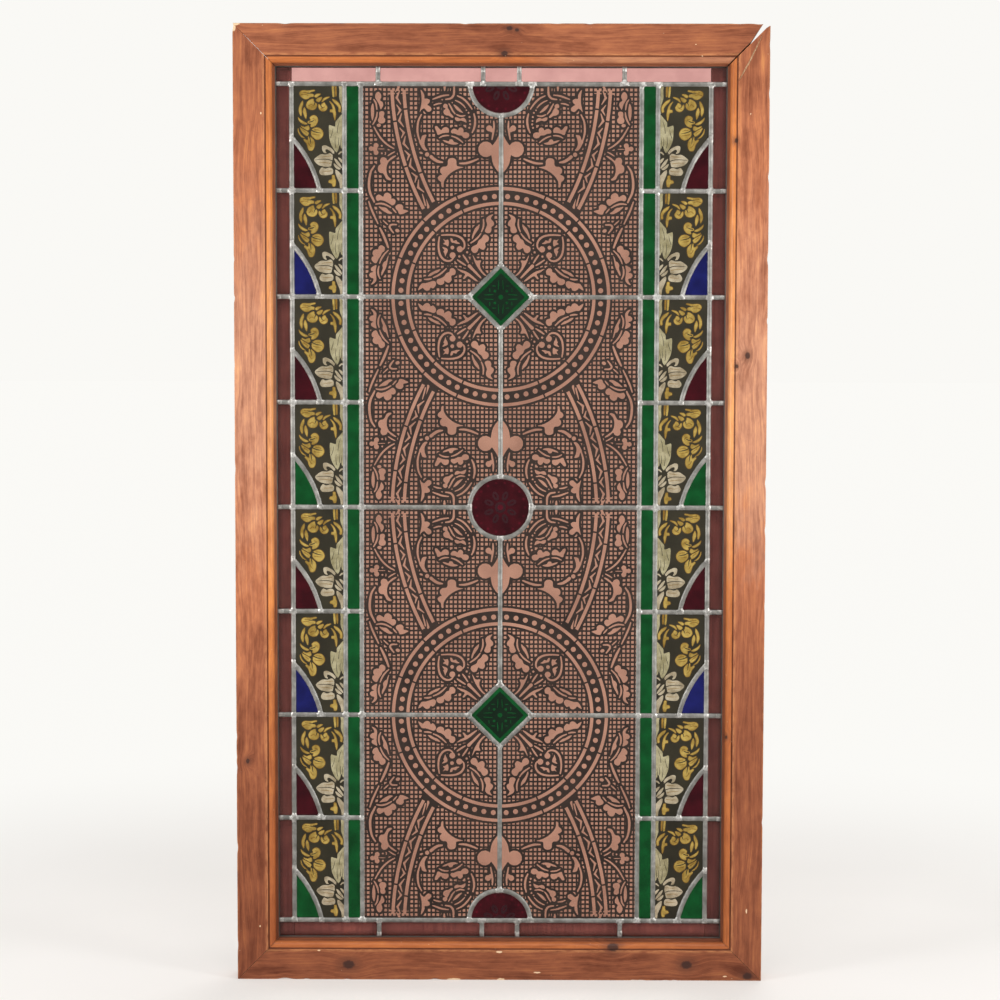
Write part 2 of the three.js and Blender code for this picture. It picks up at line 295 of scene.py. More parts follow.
# chips where bare wood shows: inward, along, half their width and half their length
CHIPS = {
    "left_stile": [(28, 67, 0.8, 1.2), (34, 1067, 0.8, 1.4), (1.2, 1171, 2.4, 6.0)],
    "right_stile": [(19, 1087, 0.9, 3.0), (23, 108, 0.6, 1.0)],
    "top_rail": [(1.0, 4, 1.6, 5.0), (39, 568, 0.7, 1.0), (25, 560, 0.5, 0.9)],
    "bottom_rail": [(0.8, 381, 1.3, 8.0), (0.8, 323, 1.4, 5.0), (35.5, 325, 1.4, 3.6),
                    (9.7, 278, 0.9, 4.2), (5.6, 45, 0.8, 2.4), (36.7, 549, 0.8, 1.8)],
}

# soft smudges: inward, along, half width, half length, and dark (-1) to bright orange (1)
SMUDGES = {
    "left_stile": [(24, 1136, 12, 18, -0.5), (4, 760, 5, 60, 0.35), (5, 25, 9, 26, -0.3)],
    "right_stile": [(8.5, 44, 4, 16, 0.8), (26, 95, 10, 50, -0.35), (10, 560, 8, 60, 0.3)],
    "top_rail": [(30, 322, 9, 16, -0.5), (14, 575, 10, 40, 0.35), (30, 445, 9, 24, 0.3)],
    "bottom_rail": [(14, 25, 12, 20, -0.6), (22, 200, 12, 50, -0.4), (30, 120, 5, 30, 0.35),
                    (8, 190, 4, 10, 0.5), (12, 610, 10, 26, -0.35)],
}

# how pale each member is along its length, from its start: share of its length, and share pale. Partly
# faded stain and partly painted light: a painted sheen, palest half-way up the stiles, and painted shade
# that deepens towards their ends, most at the foot
SHEEN_AND_FADING = {
    "left_stile": [(0, 0.0), (0.2, 0.08), (0.33, 0.3), (0.45, 0.6), (0.57, 0.95), (0.7, 0.95),
                   (0.83, 0.55), (0.96, 0.25)],
    "right_stile": [(0, 0.22), (0.07, 0.35), (0.24, 0.72), (0.36, 1.0), (0.5, 0.95), (0.6, 0.38),
                    (0.72, 0.12), (1, 0.1)],
    "top_rail": [(0, 0.3), (0.2, 0.2), (0.37, 0.12), (0.55, 0.1), (0.65, 0.3), (0.8, 0.2),
                 (1, 0.15)],
    "bottom_rail": [(0, 0.04), (0.3, 0.1), (0.7, 0.1), (1, 0.05)],
}

# where along a member its moulding turns dull and scuffed
DULLED = {"top_rail": (0.52, 0.64)}


def pine(name, length):
    """Stained, worn pine. The board attribute is inward, back and along the member."""
    finish = Finish(f"stained_pine_{name}", Specular_IOR_Level=0.22, Coat_Roughness=0.22)
    board = finish.attribute("board").outputs["Vector"]
    across, _, along = finish.node("SeparateXYZ", Vector=board).outputs
    run = finish.math("DIVIDE", along, length)

    def near(inward, place, wide, long):
        """Distance from a spot on the face, in its own half widths."""
        offset = finish.vector("SUBTRACT", board, (inward, 0, place))
        return finish.vector("LENGTH", finish.scaled(offset, (1 / wide, 0.3 / wide, 1 / long)))

    # each knot has a dark core in a softer stain, and pushes the grain aside
    core_share, stain_share, swirl = 0.0, 0.0, 0.0
    lumpy = finish.noise(board, 0.35, 3.0, 0.6)
    for inward, place, radius in KNOTS[name]:
        away = near(inward, place, 0.8 * radius, 1.1 * radius)
        ragged = finish.math("ADD", away, finish.math("MULTIPLY", lumpy, 0.7))
        core_share = finish.math("MAXIMUM", core_share, finish.spread(ragged, 1.55, 1.0))
        stain_share = finish.math("MAXIMUM", stain_share, finish.spread(ragged, 3.4, 1.1))
        swirl = finish.math("MAXIMUM", swirl, finish.spread(away, 5.0, 0.8))

    # growth rings nearly edge-on, fine fibres and clouds of stain
    wander = finish.noise(finish.scaled(board, (0.02, 0.02, 0.0035)), 1.0, 2.0)
    shifted = finish.vector("ADD", board, (27.0, 46.0, 0.0))
    radial = finish.vector("LENGTH", finish.scaled(shifted, (1.0, 0.55, 0.0)))
    bent = finish.math("ADD", radial, finish.math("MULTIPLY", wander, 40.0))
    bent = finish.math("ADD", bent, finish.math("MULTIPLY", swirl, 6.0))

    def figured(fineness, stretch, detail, roughness):
        spot = finish.node("CombineXYZ", X=finish.math("MULTIPLY", bent, fineness),
                           Z=finish.math("MULTIPLY", along, stretch)).outputs[0]
        return finish.noise(spot, 1.0, detail, roughness)

    figure = figured(0.30, 0.009, 3.0, 0.55)
    fine_figure = figured(1.3, 0.016, 3.0, 0.6)
    fibres = finish.noise(finish.scaled(board, (2.4, 2.4, 0.09)), 1.0, 3.0, 0.6)
    cloud = finish.noise(finish.scaled(board, (0.06, 0.06, 0.022)), 1.0, 4.0, 0.6)
    mottle = finish.noise(finish.scaled(board, (0.16, 0.16, 0.05)), 1.0, 3.0, 0.6)
    tone = finish.weighted((figure, 0.28), (fine_figure, 0.20), (fibres, 0.14), (cloud, 0.22),
                           (mottle, 0.16))
    for inward, place, wide, long, shift in SMUDGES[name]:
        smudge = finish.spread(
            finish.math("ADD", near(inward, place, wide, long), mottle), 1.7, 0.5, 0.0, 0.12 * shift)
        tone = finish.math("ADD", tone, smudge)

    # painted sheen and shade, with some faded stain, set by how far along the member a point lies
    drift = finish.math("MULTIPLY", finish.math("SUBTRACT", cloud, 0.5), 0.25)
    pale_share = finish.ramp(finish.math("ADD", run, drift), *SHEEN_AND_FADING[name])
    gain = finish.ramp(tone, (0.38, (0.50, 0.42, 0.40)), (0.45, (0.74, 0.70, 0.70)),
                       (0.51, (1.0, 1.0, 1.0)), (0.57, (1.25, 1.32, 1.20)),
                       (0.64, (1.55, 1.85, 1.50)))
    face = finish.ramp(pale_share, (0, (0.225, 0.064, 0.028)), (0.5, (0.445, 0.150, 0.068)),
                       (1, (0.540, 0.245, 0.145)))
    face = finish.mix(1.0, face, gain, "MULTIPLY")

    # the moulding has kept a clearer, more orange finish
    moulding = finish.ramp(pale_share, (0, (0.400, 0.108, 0.030)), (0.5, (0.640, 0.205, 0.052)),
                           (1, (0.760, 0.320, 0.120)))
    moulding = finish.mix(0.7, moulding, finish.mix(1.0, moulding, gain, "MULTIPLY"))
    past_the_end = (2, 3)
    dull_from, dull_to = DULLED.get(name, past_the_end)
    moulding = finish.mix(finish.spread(run, dull_from, dull_to, 0.0, 0.75), moulding,
                          finish.mix(1.0, (0.36, 0.16, 0.095), gain, "MULTIPLY"))
    on_ovolo = finish.math("MULTIPLY", finish.spread(across, 39.4, 40.6),
                           finish.spread(across, 48.4, 46.0))
    colour = finish.mix(on_ovolo, face, moulding)

    # painted shade in the quirk, and on the ovolo's inner part where it turns back towards the sight edge
    quirk_and_ovolo_shade = finish.math("MULTIPLY", finish.spread(across, 37.9, 38.5),
                        finish.spread(across, 40.8, 39.6))
    quirk_and_ovolo_shade = finish.math("MAXIMUM", quirk_and_ovolo_shade, finish.spread(across, 45.6, 48.6, 0.0, 0.9))
    colour = finish.mix(finish.math("MULTIPLY", quirk_and_ovolo_shade, 0.55), colour, (0.13, 0.038, 0.016))

    # wear: thin finish along the outer arris, and a painted highlight along the edge of the flat, both in
    # scuffed patches
    arris = finish.spread(across, 2.2, 0.3)
    flat_edge_highlight = finish.math("MULTIPLY", finish.spread(across, 33.5, 37.4),
                            finish.spread(across, 38.3, 37.9))
    scuffed = finish.noise(finish.scaled(board, (0.35, 0.35, 0.06)), 1.0, 4.0, 0.7)
    wear_and_highlight = finish.math("MULTIPLY", finish.math("MAXIMUM", arris, flat_edge_highlight),
                       finish.spread(scuffed, 0.36, 0.60))
    colour = finish.mix(finish.math("MULTIPLY", wear_and_highlight, 0.5), colour, (0.66, 0.28, 0.11))
    colour = finish.mix(finish.math("MULTIPLY", stain_share, 0.45), colour, (0.10, 0.036, 0.022))
    colour = finish.mix(finish.math("MULTIPLY", core_share, 0.85), colour, (0.045, 0.022, 0.018))

    # chips and specks of bare wood
    specks = finish.noise(finish.scaled(board, (0.55, 0.55, 0.35)), 1.0, 2.0, 0.6)
    bare = finish.spread(finish.math("ADD", specks, finish.spread(across, 9.0, 0.0, 0.0, 0.03)),
                         0.755, 0.775)
    for chip in CHIPS[name]:
        ragged = finish.math("ADD", near(*chip), finish.math("MULTIPLY", specks, 1.2))
        bare = finish.math("MAXIMUM", bare, finish.spread(ragged, 1.75, 1.45))
    colour = finish.mix(bare, colour, (0.78, 0.55, 0.34))

    finish.paint(colour)
    finish.roughen(finish.spread(cloud, 0.3, 0.7, 0.42, 0.58))
    finish.feed(finish.shader.inputs["Coat Weight"], finish.spread(on_ovolo, 0.0, 1.0, 0.02, 0.3))
    height = finish.weighted((fibres, 0.5), (fine_figure, 0.3), (bare, -0.9))
    finish.bump(height, 0.14, 0.7)
    return finish.material


def raw_pine():
    """Bare wood where the finish never reached: on mitres and in splits."""
    finish = Finish("raw_pine", 0.8, Specular_IOR_Level=0.2)
    place = finish.place()
    fibres = finish.noise(finish.scaled(place, (1.2, 1.2, 0.3)), 1.0, 3.0, 0.6)
    finish.paint(finish.ramp(fibres, (0.3, (0.34, 0.19, 0.10)), (0.7, (0.70, 0.50, 0.32))))
    finish.bump(fibres, 0.2, 0.8)
    return finish.material


def beside_frame(finish, place):
    """How far, in millimetres, a point lies inward from the frame's inner edge."""
    x, _, z = finish.node("SeparateXYZ", Vector=place).outputs
    side = finish.math("SUBTRACT", sight_edge, finish.math("ABSOLUTE", x))
    below = finish.math("SUBTRACT", z, MEMBER_WIDTH)
    above = finish.math("SUBTRACT", frame_height - MEMBER_WIDTH, z)
    return finish.math("MINIMUM", side, finish.math("MINIMUM", below, above))


def bare_pine():
    """Sawn, unstained pine for the beads, browned with age, darkened all over as painted shade, and with
    deeper painted shade beside the frame.
    """
    finish = Finish("aged_bare_pine_and_painted_shade", Specular_IOR_Level=0.3)
    place = finish.place()
    streaks = finish.noise(finish.scaled(place, (0.3, 0.3, 0.012)), 1.0, 4.0, 0.6)
    fibres = finish.noise(finish.scaled(place, (2.2, 2.2, 0.09)), 1.0, 3.0, 0.7)
    dirt = finish.noise(place, 0.03, 4.0, 0.6)
    tone = finish.weighted((streaks, 0.55), (fibres, 0.3), (dirt, 0.2))
    # browned pine, made darker than age alone would make it: painted shade for a bead that lies in shadow
    # behind the glass
    colour = finish.ramp(
        tone, (0.3, (0.10, 0.06, 0.05)), (0.52, (0.20, 0.125, 0.105)), (0.75, (0.32, 0.20, 0.16)))
    # painted shade beside the frame's inner edge, where the lip shades the bead
    frame_shade = finish.spread(beside_frame(finish, place), 1.0, 9.0, 0.9, 0.0)
    finish.paint(finish.mix(frame_shade, colour, (0.07, 0.035, 0.022)))
    finish.roughen(finish.spread(fibres, 0.2, 0.8, 0.6, 0.8))
    finish.bump(fibres, 0.3, 0.8)
    return finish.material


def lead():
    """Dull oxidised lead with a paler bloom, and painted shade where it meets the frame."""
    finish = Finish("oxidised_lead", Metallic=0.5)
    place = finish.place()
    cloud = finish.noise(place, 0.09, 4.0, 0.6)
    grain = finish.noise(place, 1.4, 3.0, 0.7)
    tone = finish.weighted((cloud, 0.65), (grain, 0.35))
    colour = finish.ramp(
        tone, (0.30, (0.15, 0.145, 0.13)), (0.50, (0.29, 0.28, 0.255)), (0.70, (0.56, 0.54, 0.50)))
    # painted shade where the lead runs in beside the frame's lip
    frame_shade = finish.spread(beside_frame(finish, place), 1.5, 5.0, 0.85, 0.0)
    finish.paint(finish.mix(frame_shade, colour, (0.045, 0.038, 0.032)))
    finish.roughen(finish.spread(grain, 0.2, 0.8, 0.36, 0.56))
    finish.bump(grain, 0.12, 0.7)
    return finish.material


def solder():
    """Brighter tin and lead solder, wiped while it was soft."""
    finish = Finish("bright_solder", Metallic=0.6)
    place = finish.place()
    cloud = finish.noise(place, 0.22, 3.0, 0.6)
    grain = finish.noise(place, 1.1, 3.0, 0.7)
    colour = finish.ramp(
        cloud, (0.32, (0.28, 0.27, 0.245)), (0.5, (0.54, 0.52, 0.48)), (0.66, (0.90, 0.88, 0.83)))
    # painted shade where the joints lie beside the frame's lip
    frame_shade = finish.spread(beside_frame(finish, place), 0.5, 3.0, 0.7, 0.0)
    finish.paint(finish.mix(frame_shade, colour, (0.06, 0.05, 0.045)))
    finish.roughen(finish.spread(grain, 0.2, 0.8, 0.28, 0.48))
    finish.bump(grain, 0.15, 0.8)
    return finish.material


def glass(name, pale, deep, roughness=0.06, ripple=0.05, scale=0.02):
    """Transparent glass whose tint drifts between two colours. Both faces together give the tint."""
    finish = Finish(name, roughness, Transmission_Weight=1.0, IOR=1.5)
    place = finish.place()
    drift = finish.noise(place, scale, 3.0, 0.55)
    wave = finish.noise(finish.scaled(place, (1.0, 1.0, 0.35)), 0.12, 2.0)
    finish.paint(finish.ramp(drift, (0.34, deep), (0.66, pale)))
    finish.bump(wave, ripple)
    return finish.material


def fired_paint(name, dark, light, roughness=0.55):
    """Opaque vitreous paint, a little uneven in its firing."""
    finish = Finish(name, roughness, Specular_IOR_Level=0.35)
    place = finish.place()
    patches = finish.noise(place, 0.03, 3.0, 0.55)
    stipple = finish.noise(place, 1.6, 2.0, 0.7)
    tone = finish.weighted((patches, 0.55), (stipple, 0.45))
    finish.paint(finish.ramp(tone, (0.35, dark), (0.65, light)))
    finish.bump(stipple, 0.03, 0.6)
    return finish.material


LEAD = lead()
SOLDER = solder()
BARE_PINE = bare_pine()
RAW_PINE = raw_pine()
STENCIL_PAINT = fired_paint("brown_stencil_paint", (0.020, 0.011, 0.008), (0.042, 0.025, 0.018))
STENCIL_GLASS = glass("rose_stencil_glass", (0.57, 0.300, 0.215), (0.42, 0.215, 0.155), 0.1)
FLOWER_GROUND = fired_paint("olive_black_paint", (0.016, 0.013, 0.006), (0.034, 0.028, 0.013))
GOLD = glass("silver_stain_gold", (0.62, 0.37, 0.040), (0.30, 0.15, 0.010), 0.1, 0.05, 0.10)
AMBER = glass("silver_stain_amber", (0.26, 0.105, 0.006), (0.13, 0.045, 0.003), 0.1, 0.05, 0.10)
CREAM = glass("pale_cream_glass", (0.64, 0.55, 0.40), (0.34, 0.27, 0.17), 0.1, 0.05, 0.10)
LEAF = glass("pale_leaf_glass", (0.50, 0.47, 0.26), (0.28, 0.26, 0.12), 0.1, 0.05, 0.10)
PINK = glass("pale_pink_glass", (0.80, 0.43, 0.40), (0.68, 0.35, 0.33), 0.05, 0.08, 0.03)
RUBY = glass("ruby_glass", (0.070, 0.005, 0.010), (0.036, 0.003, 0.006), 0.05, 0.1, 0.05)
RUBY_LIGHT = glass("ruby_highlight_glass", (0.26, 0.012, 0.036), (0.11, 0.006, 0.016), 0.05, 0.1, 0.1)
RUBY_PAINT = fired_paint("ruby_matt_paint", (0.022, 0.005, 0.007), (0.040, 0.008, 0.012), 0.4)
GREEN = glass("bottle_green_glass", (0.005, 0.105, 0.024), (0.003, 0.055, 0.012), 0.05, 0.1, 0.05)
GREEN_PAINT = fired_paint("green_matt_paint", (0.002, 0.010, 0.004), (0.004, 0.020, 0.007), 0.4)
BLUE = glass("deep_blue_glass", (0.014, 0.017, 0.150), (0.008, 0.009, 0.080), 0.05, 0.1, 0.05)


# ---- frame -------------------------------------------------------------------------------------

RING_SPACING = 3.0


def member_section():
    """The moulding: inward from the outer edge and back from the front face."""
    section = []
    arris_steps = 4
    for i in range(arris_steps, -1, -1):
        turn = i / arris_steps * math.pi / 2
        section.append((ARRIS * (1 - math.sin(turn)), ARRIS * (1 - math.cos(turn))))
    flat_steps = 9
    for i in range(1, flat_steps):
        section.append((ARRIS + (FLAT_WIDTH - ARRIS) * i / flat_steps, 0.0))
    quirk_end = FLAT_WIDTH + QUIRK_WIDTH
    section += [
        (FLAT_WIDTH - 0.3, 0.0), (FLAT_WIDTH + 0.1, 0.25), (FLAT_WIDTH + 0.35, QUIRK_DEPTH - 0.2),
        (FLAT_WIDTH + 0.8, QUIRK_DEPTH), (quirk_end - 0.2, QUIRK_DEPTH),
    ]
    ovolo_steps = 14
    for i in range(ovolo_steps + 1):
        turn = i / ovolo_steps * math.pi / 2
        section.append((quirk_end + OVOLO_WIDTH * math.sin(turn),
                        OVOLO_RISE + OVOLO_DEPTH * (1 - math.cos(turn))))
    fillet = OVOLO_RISE + OVOLO_DEPTH
    section += [
        (MEMBER_WIDTH - 0.4, fillet), (MEMBER_WIDTH, fillet + 0.4),
        (MEMBER_WIDTH, LIP_BACK), (REBATE_WALL, LIP_BACK),
        (REBATE_WALL, frame_depth - 0.5),
        (REBATE_WALL - 0.5, frame_depth),
        (REBATE_WALL / 2, frame_depth),
        (ARRIS, frame_depth), (0.0, frame_depth - ARRIS),
        (0.0, frame_depth / 2),
    ]
    return section


def make_member(name, length, start, end, corner, inward, along, dents):
    """A mitred length of the moulding. start and end say how far each end is cut back at each
    distance inward, and dents lists the chips in its outer arris: (along, half width, depth)."""
    section = member_section()
    count = len(section)
    rings = int(length / RING_SPACING)
    vertices = []
    boards = []
    for ring in range(rings + 1):
        share = ring / rings
        for across, back in section:
            low = start(across, back)
            high = length - end(across, back)
            run = low + (high - low) * share
            near = math.exp(-((across + back) / 3.0) ** 2)
            chip = 0.0
            for place, half, depth in dents:
                chip += depth * math.exp(-((run - place) / half) ** 2)
            wear = 0.18 * noise.noise(Vector((run * 0.05, across * 0.2, length)))
            across_now = across + near * (chip + abs(wear))
            back_now = back + near * (chip * 0.8 + abs(wear))
            vertices.append(corner + inward * across_now + Vector((0, back_now, 0)) + along * run)
            boards.append((across, back, run))
    faces = tube_faces(rings, count)
    finish = pine(name, length)
    kinds = [0] * (len(faces) - 2) + [1, 1]
    piece = make_object(f"pine_{name}", vertices, faces, [finish, RAW_PINE], kinds)
    board = piece.data.attributes.new("board", "FLOAT_VECTOR", "POINT")
    board.data.foreach_set("vector", [c for p in boards for c in p])
    face_outwards(piece)
    return piece


def cut_crack(piece):
    """The split down the face of the right stile, from near its point to the quirk. Bare wood
    shows in it."""
    chance = random.Random(5)
    top = Vector((frame_high.x - 10.0, frame_height - 13.0))
    bottom = Vector((frame_high.x - 37.5, frame_height - 68.0))
    bow, depth = 1.0, 0.8
    steps = 16
    direction = (bottom - top).normalized()
    normal = Vector((-direction.y, direction.x))
    left, right = [], []
    for i in range(steps + 1):
        share = i / steps
        middle = top.lerp(bottom, share) + normal * (
            bow * math.sin(share * math.pi) + chance.uniform(-0.3, 0.3))
        half = 0.2 + 0.65 * math.sin((1 - share) ** 0.8 * math.pi) ** 0.6
        left.append(middle - normal * half)
        right.append(middle + normal * half)
    outline = left + right[::-1]
    count = len(outline)
    front, deep = frame_front - 1.0, frame_front + depth
    vertices = [(p.x, front, p.y) for p in outline] + [(p.x, deep, p.y) for p in outline]
    faces = [tuple(range(count)), tuple(range(2 * count - 1, count - 1, -1))]
    for i in range(count):
        j = (i + 1) % count
        faces.append((i, i + count, j + count, j))
    blade = make_object("crack_blade", vertices, faces, [RAW_PINE])
    face_outwards(blade)
    cut = piece.modifiers.new("crack", "BOOLEAN")
    cut.operation = "DIFFERENCE"
    cut.solver = "EXACT"
    cut.material_mode = "TRANSFER"
    cut.object = blade
    apply_modifiers(piece)
    bpy.data.objects.remove(blade)


def apply_modifiers(piece):
    evaluated = piece.evaluated_get(bpy.context.evaluated_depsgraph_get())
    mesh = bpy.data.meshes.new_from_object(evaluated)
    piece.modifiers.clear()
    piece.data = mesh


def random_dents(length, seed, number):
    chance = random.Random(seed)
    return [(chance.uniform(10, length - 10), chance.uniform(2.5, 6.0), chance.uniform(0.3, 1.3))
            for _ in range(number)]


def build_frame():
    def mitre(across, back):
        return across + MITRE_GAP

    def opened(across, back):
        """Sprung apart at the point. Further in, the joint is open only at its face."""
        face = max(OPEN_MITRE_FACE, OPEN_MITRE_OUTER * (1 - across / OPEN_MITRE_LENGTH))
        behind = max(0.1, OPEN_MITRE_OUTER * (1 - across / (REBATE_WALL / 2)))
        return across + face + (behind - face) * back / frame_depth

    def worn(across, back):
        return max(across, BROKEN_TIP) + MITRE_GAP

    width = frame_high.x - frame_low.x
    up, down = Vector((0, 0, 1)), Vector((0, 0, -1))
    to_right, to_left = Vector((1, 0, 0)), Vector((-1, 0, 0))
    low_left = Vector((frame_low.x, frame_front, 0))
    low_right = Vector((frame_high.x, frame_front, 0))
    top_left = Vector((frame_low.x, frame_front, frame_height))
    top_right = Vector((frame_high.x, frame_front, frame_height))
    members = [
        make_member("left_stile", frame_height, mitre, mitre, low_left, to_right, up,
                    random_dents(frame_height, seed=1, number=11) + [(frame_height - 3.0, 4.0, 1.2)]),
        make_member("top_rail", width, mitre, opened, top_left, down, to_right,
                    random_dents(width, seed=2, number=7)),
        make_member("right_stile", frame_height, worn, mitre, top_right, to_left, down,
                    random_dents(frame_height, seed=3, number=10)),
        make_member("bottom_rail", width, mitre, mitre, low_right, up, to_left,
                    random_dents(width, seed=4, number=9)),
    ]
    cut_crack(members[2])
    for member, node in zip(members, ("left_stile", "top_rail", "right_stile", "bottom_rail")):
        sharpen(member, 32)
        settle(member, "stained_pine", node)


def make_bead(name, node, upright):
    """A sawn bead with eased edges, a little out of true along its length."""
    low, high = box(node)
    length = (high.z - low.z) if upright else (high.x - low.x)
    middle_y = (low.y + high.y) / 2
    half_deep = (high.y - low.y) / 2
    half_wide = ((high.x - low.x) if upright else (high.z - low.z)) / 2
    ease = 0.9
    section = []
    for turn_x, turn_y in ((1, 1), (-1, 1), (-1, -1), (1, -1)):
        first = (turn_x * half_wide, turn_y * (half_deep - ease))
        second = (turn_x * (half_wide - ease), turn_y * half_deep)
        section += [first, second] if turn_x * turn_y > 0 else [second, first]
    ring_spacing = 12
    rings = int(length / ring_spacing)
    vertices = []
    for ring in range(rings + 1):
        run = length * ring / rings
        drift = 0.25 * noise.noise(Vector((run * 0.01, low.x * 0.1, low.z * 0.1))) - 0.25
        for wide, deep in section:
            wide *= 1 + drift / half_wide / 2
            deep *= 1 + drift / half_deep / 4
            if upright:
                vertices.append(((low.x + high.x) / 2 + wide, middle_y + deep, low.z + run))
            else:
                vertices.append((low.x + run, middle_y + deep, (low.z + high.z) / 2 + wide))
    piece = make_object(name, vertices, tube_faces(rings, len(section)), [BARE_PINE])
    face_outwards(piece)
    sharpen(piece, 30)
    settle(piece, "bead_pine", node)


# ---- lead --------------------------------------------------------------------------------------

CAME_WIDTH = 5.6
CAME_DEPTH = came_back - came_front
FLANGE = glass_front - came_front - 0.3            # thickness of a came's face at its middle
HEART = 0.8                                        # half the web between two panes
CAME_SPACING = 6.0


def domed(half):
    """Across one face of a came, and how far each point lies behind its crown."""
    return [(half * share, 1.35 * abs(share) ** 2.1) for share in (-1, -0.8, -0.42, 0, 0.42, 0.8, 1)]


def came_section(half, heart_from, heart_to):
    """Round a came: across it, and back from its front. A slot holds the glass on each side
    where the heart stops short of the edge."""
    front = domed(half)
    back = [(across, CAME_DEPTH - depth) for across, depth in reversed(front)]
    slot_front, slot_back = FLANGE, CAME_DEPTH - FLANGE
    section = list(front)
    if heart_to < half:
        section += [(half, slot_front), (heart_to, slot_front),
                    (heart_to, slot_back), (half, slot_back)]
    section += back
    if heart_from > -half:
        section += [(-half, slot_back), (heart_from, slot_back),
                    (heart_from, slot_front), (-half, slot_front)]
    return section


def resampled(path, closed, spacing):
    """Points along the path at about this spacing, with its own corners kept."""
    points = []
    pairs = list(zip(path, path[1:] + path[:1])) if closed else list(zip(path, path[1:]))
    for first, second in pairs:
        steps = max(1, round((second - first).length / spacing))
        points += [first.lerp(second, i / steps) for i in range(steps)]
    if not closed:
        points.append(path[-1])
    return points


def sweep_came(vertices, faces, path, closed, section, wobble):
    points = resampled(path, closed, CAME_SPACING)
    count = len(points)
    sides = len(section)
    base = len(vertices)
    for i, point in enumerate(points):
        before = points[i - 1] if closed or i > 0 else None
        after = points[(i + 1) % count] if closed or i < count - 1 else None
        arriving = ((point - before) if before is not None else (after - point)).normalized()
        leaving = ((after - point) if after is not None else (point - before)).normalized()
        normal = Vector((-arriving.y - leaving.y, arriving.x + leaving.x)).normalized()
        stretch = 1 / max(0.3, normal.dot(Vector((-arriving.y, arriving.x))))
        spot = Vector((point.x * 0.045, point.y * 0.045, 0.0))
        swell = 1 + wobble * noise.noise(spot * 3.1)
        sideways = 0.5 * wobble * noise.noise(spot + Vector((0, 0, 9))) * 4
        height = 0.4 * wobble * noise.noise(spot * 2 + Vector((0, 0, 5)))
        for across, through in section:
            reach = (across * swell + sideways) * stretch
            vertices.append((point.x + normal.x * reach,
                             came_front + through + height * (1 if through < CAME_DEPTH / 2 else -1)
                             + 0.12, point.y + normal.y * reach))
    lengths = count if closed else count - 1
    for i in range(lengths):
        near = base + i * sides
        far = base + ((i + 1) % count) * sides
        for side in range(sides):
            nxt = (side + 1) % sides
            faces.append((near + side, far + side, far + nxt, near + nxt))
    if not closed:
        faces.append(tuple(base + i for i in range(sides)))
        last = base + (count - 1) * sides
        faces.append(tuple(last + i for i in reversed(range(sides))))


def arc(centre, radius, start, end, steps):
    return [Vector((centre[0] + radius * math.cos(start + (end - start) * i / steps),
                    centre[1] + radius * math.sin(start + (end - start) * i / steps)))
            for i in range(steps + 1)]


# the bow that cuts a corner piece off each painted quarry: p in from the outer lead line, and
# q up from the row's lower line
chord = math.hypot(corner_run, corner_rise)
bow_radius = (chord ** 2 / 4 + corner_bow ** 2) / (2 * corner_bow)
bow_centre = (corner_run / 2 - corner_rise / chord * (bow_radius - corner_bow),
              corner_rise / 2 - corner_run / chord * (bow_radius - corner_bow))


def bow_points(offset, inset):
    steps = 8
    radius = bow_radius + offset
    start = math.acos((inset - bow_centre[0]) / radius)
    end = math.asin((inset - bow_centre[1]) / radius)
    return arc(bow_centre, radius, start, end, steps)


def jewel_reach(line):
    return roundel_radius if line % 2 == 0 else diamond_reach


def list_cames():
    """Every plain came: a path and whether it is closed."""
    edge = (panel_edge + edge_came_inner) / 2
    edge_low = frame_high.x - edge
    edge_high = frame_height - edge_low
    cames = []

    def straight(x1, z1, x2, z2):
        cames.append(([Vector((x1, z1)), Vector((x2, z2))], False))

    for side in (-1, 1):
        for line in (side_line, strip_line, field_line):
            straight(side * line, field_bottom, side * line, field_top)
        for row in range(1, rows):
            z = field_bottom + row * row_height
            straight(side * edge, z, side * field_line, z)
        for x in short_cames:
            straight(side * x, field_top, side * x, edge_high)
            straight(side * x, edge_low, side * x, field_bottom)
        for row in range(rows):
            z = field_bottom + row * row_height
            cames.append(([Vector((side * (side_line - p.x), z + p.y)) for p in bow_points(0, 0)],
                          False))
    for z in (field_bottom, field_top):
        straight(-edge, z, edge, z)
    for tier in range(tiers):
        high = field_top - tier * tier_height
        straight(0, high - jewel_reach(tier), 0, high - tier_height + jewel_reach(tier + 1))
        if tier > 0:
            straight(-field_line, high, -jewel_reach(tier), high)
            straight(jewel_reach(tier), high, field_line, high)

    for line in range(tiers + 1):
        z = field_top - line * tier_height
        if line % 2 == 1:
            reach = diamond_reach
            cames.append(([Vector((reach, z)), Vector((0, z + reach)), Vector((-reach, z)),
                           Vector((0, z - reach))], True))
        elif line == 0:
            cames.append((arc((0, z), roundel_radius, math.pi, 2 * math.pi, 24), False))
        elif line == tiers:
            cames.append((arc((0, z), roundel_radius, 0, math.pi, 24), False))
        else:
            cames.append((arc((0, z), roundel_radius, 0, 2 * math.pi, 48)[:-1], True))
    return cames


